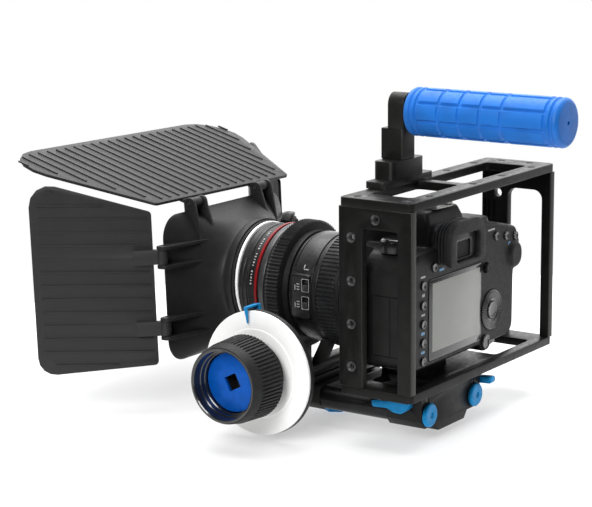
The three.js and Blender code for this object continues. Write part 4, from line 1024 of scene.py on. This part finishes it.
def hood():
    boss = moved(cylinder("z", 3.5, 37.6, 44, edge=0.4), Matrix.Rotation(SCREW_ANGLE, 4, "Y"))
    clamp = turned("y", soften([(39.6, -2.5), (41.2, -2.5), (41.2, 3.2), (39.6, 3.2)], 0.5), (0, 0, 0), 160)
    parts = [screw_bore(part) for part in (hood_shell(), boss, clamp)]
    for shift in (-EAR_SPREAD, EAR_SPREAD):
        parts += [top_ear(x + shift) for x in (-TOP_EARS, TOP_EARS)]
        for z in (-SIDE_EARS, SIDE_EARS):
            parts += [side_ear(z + shift), mirrored(side_ear(z + shift))]
    return joined(*parts)


def in_hood(bm):
    tilt = Matrix.Translation((0, HOOD_Y, LENS_Z)) @ Matrix.Rotation(HOOD_TILT, 4, "X")
    return moved(bm, tilt)


def matte_box(paints):
    plastic = paints["black_plastic"]
    stand_in("matte_hood", in_hood(hood()), plastic)
    stand_in("hood_clamp_screw", refined("hood_clamp_screw", 0.4, 40), plastic)
    for node in ("top_flag", "left_flag", "right_flag"):
        stand_in(node, refined(node, 0.35, 40), plastic)


# ------------------------------------------------------------------ stage
def studio_world():
    """White where the camera sees it; for the object, a glow that comes from its far side."""
    world = bpy.data.worlds.new("studio")
    world.use_nodes = True
    nodes, links = world.node_tree.nodes, world.node_tree.links
    along = nodes.new("ShaderNodeVectorMath")
    along.operation = "DOT_PRODUCT"
    along.inputs[1].default_value = FAR_SIDE
    links.new(nodes.new("ShaderNodeTexCoord").outputs["Generated"], along.inputs[0])
    strength = nodes.new("ShaderNodeMapRange")
    for socket, value in (("From Min", 0.05), ("From Max", 0.95), ("To Min", 0.05), ("To Max", 2.1)):
        strength.inputs[socket].default_value = value
    links.new(along.outputs["Value"], strength.inputs["Value"])
    glow = nodes["Background"]
    glow.inputs["Color"].default_value = (1, 1, 1, 1)
    links.new(strength.outputs[0], glow.inputs["Strength"])
    white = nodes.new("ShaderNodeBackground")
    white.inputs["Color"].default_value = (1, 1, 1, 1)
    mix = nodes.new("ShaderNodeMixShader")
    links.new(nodes.new("ShaderNodeLightPath").outputs["Is Camera Ray"], mix.inputs["Fac"])
    links.new(glow.outputs[0], mix.inputs[1])
    links.new(white.outputs[0], mix.inputs[2])
    links.new(mix.outputs[0], nodes["World Output"].inputs["Surface"])
    bpy.context.scene.world = world


def make_floor(level):
    paint = Paint("floor", (0.5, 0.5, 0.5), 0.8)
    paint.mottle(400, 0.99, 1.01)
    paint.set(Specular_IOR_Level=0.1, Emission_Color=(1, 1, 1, 1), Emission_Strength=0.48)
    mesh = bpy.data.meshes.new("floor")
    rim = [(FLOOR_RADIUS * math.cos(a), FLOOR_RADIUS * math.sin(a), level)
           for a in (2 * math.pi * i / 96 for i in range(96))]
    mesh.from_pydata(rim, [], [tuple(range(96))])
    mesh.materials.append(paint.material)
    floor = bpy.data.objects.new("floor", mesh)
    bpy.context.scene.collection.objects.link(floor)


def make_stage():
    low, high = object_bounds()
    make_floor(low.z - 0.001)
    studio_world()
    aim = (low + high) / 2
    lamps = [("overhead", (-0.3, -0.1, 1.5), 1.5, 34), ("key", (1.45, 0.3, 0.85), 0.7, 22),
             ("rear", (-0.5, 1.6, 0.4), 0.7, 1.5)]
    for name, spot, size, power in lamps:
        light = bpy.data.lights.new(name, "AREA")
        light.shape = "SQUARE"
        light.size = size
        light.energy = power
        lamp = bpy.data.objects.new(name, light)
        lamp.location = aim + Vector(spot)
        lamp.rotation_euler = (aim - lamp.location).to_track_quat("-Z", "Y").to_euler()
        bpy.context.scene.collection.objects.link(lamp)
    bpy.context.scene.view_settings.view_transform = "Standard"


make_camera()
paints = make_materials()
cage(paints)
handle(paints)
rods(paints)
camera(paints)
lens(paints)
follow_focus(paints)
matte_box(paints)
make_stage()
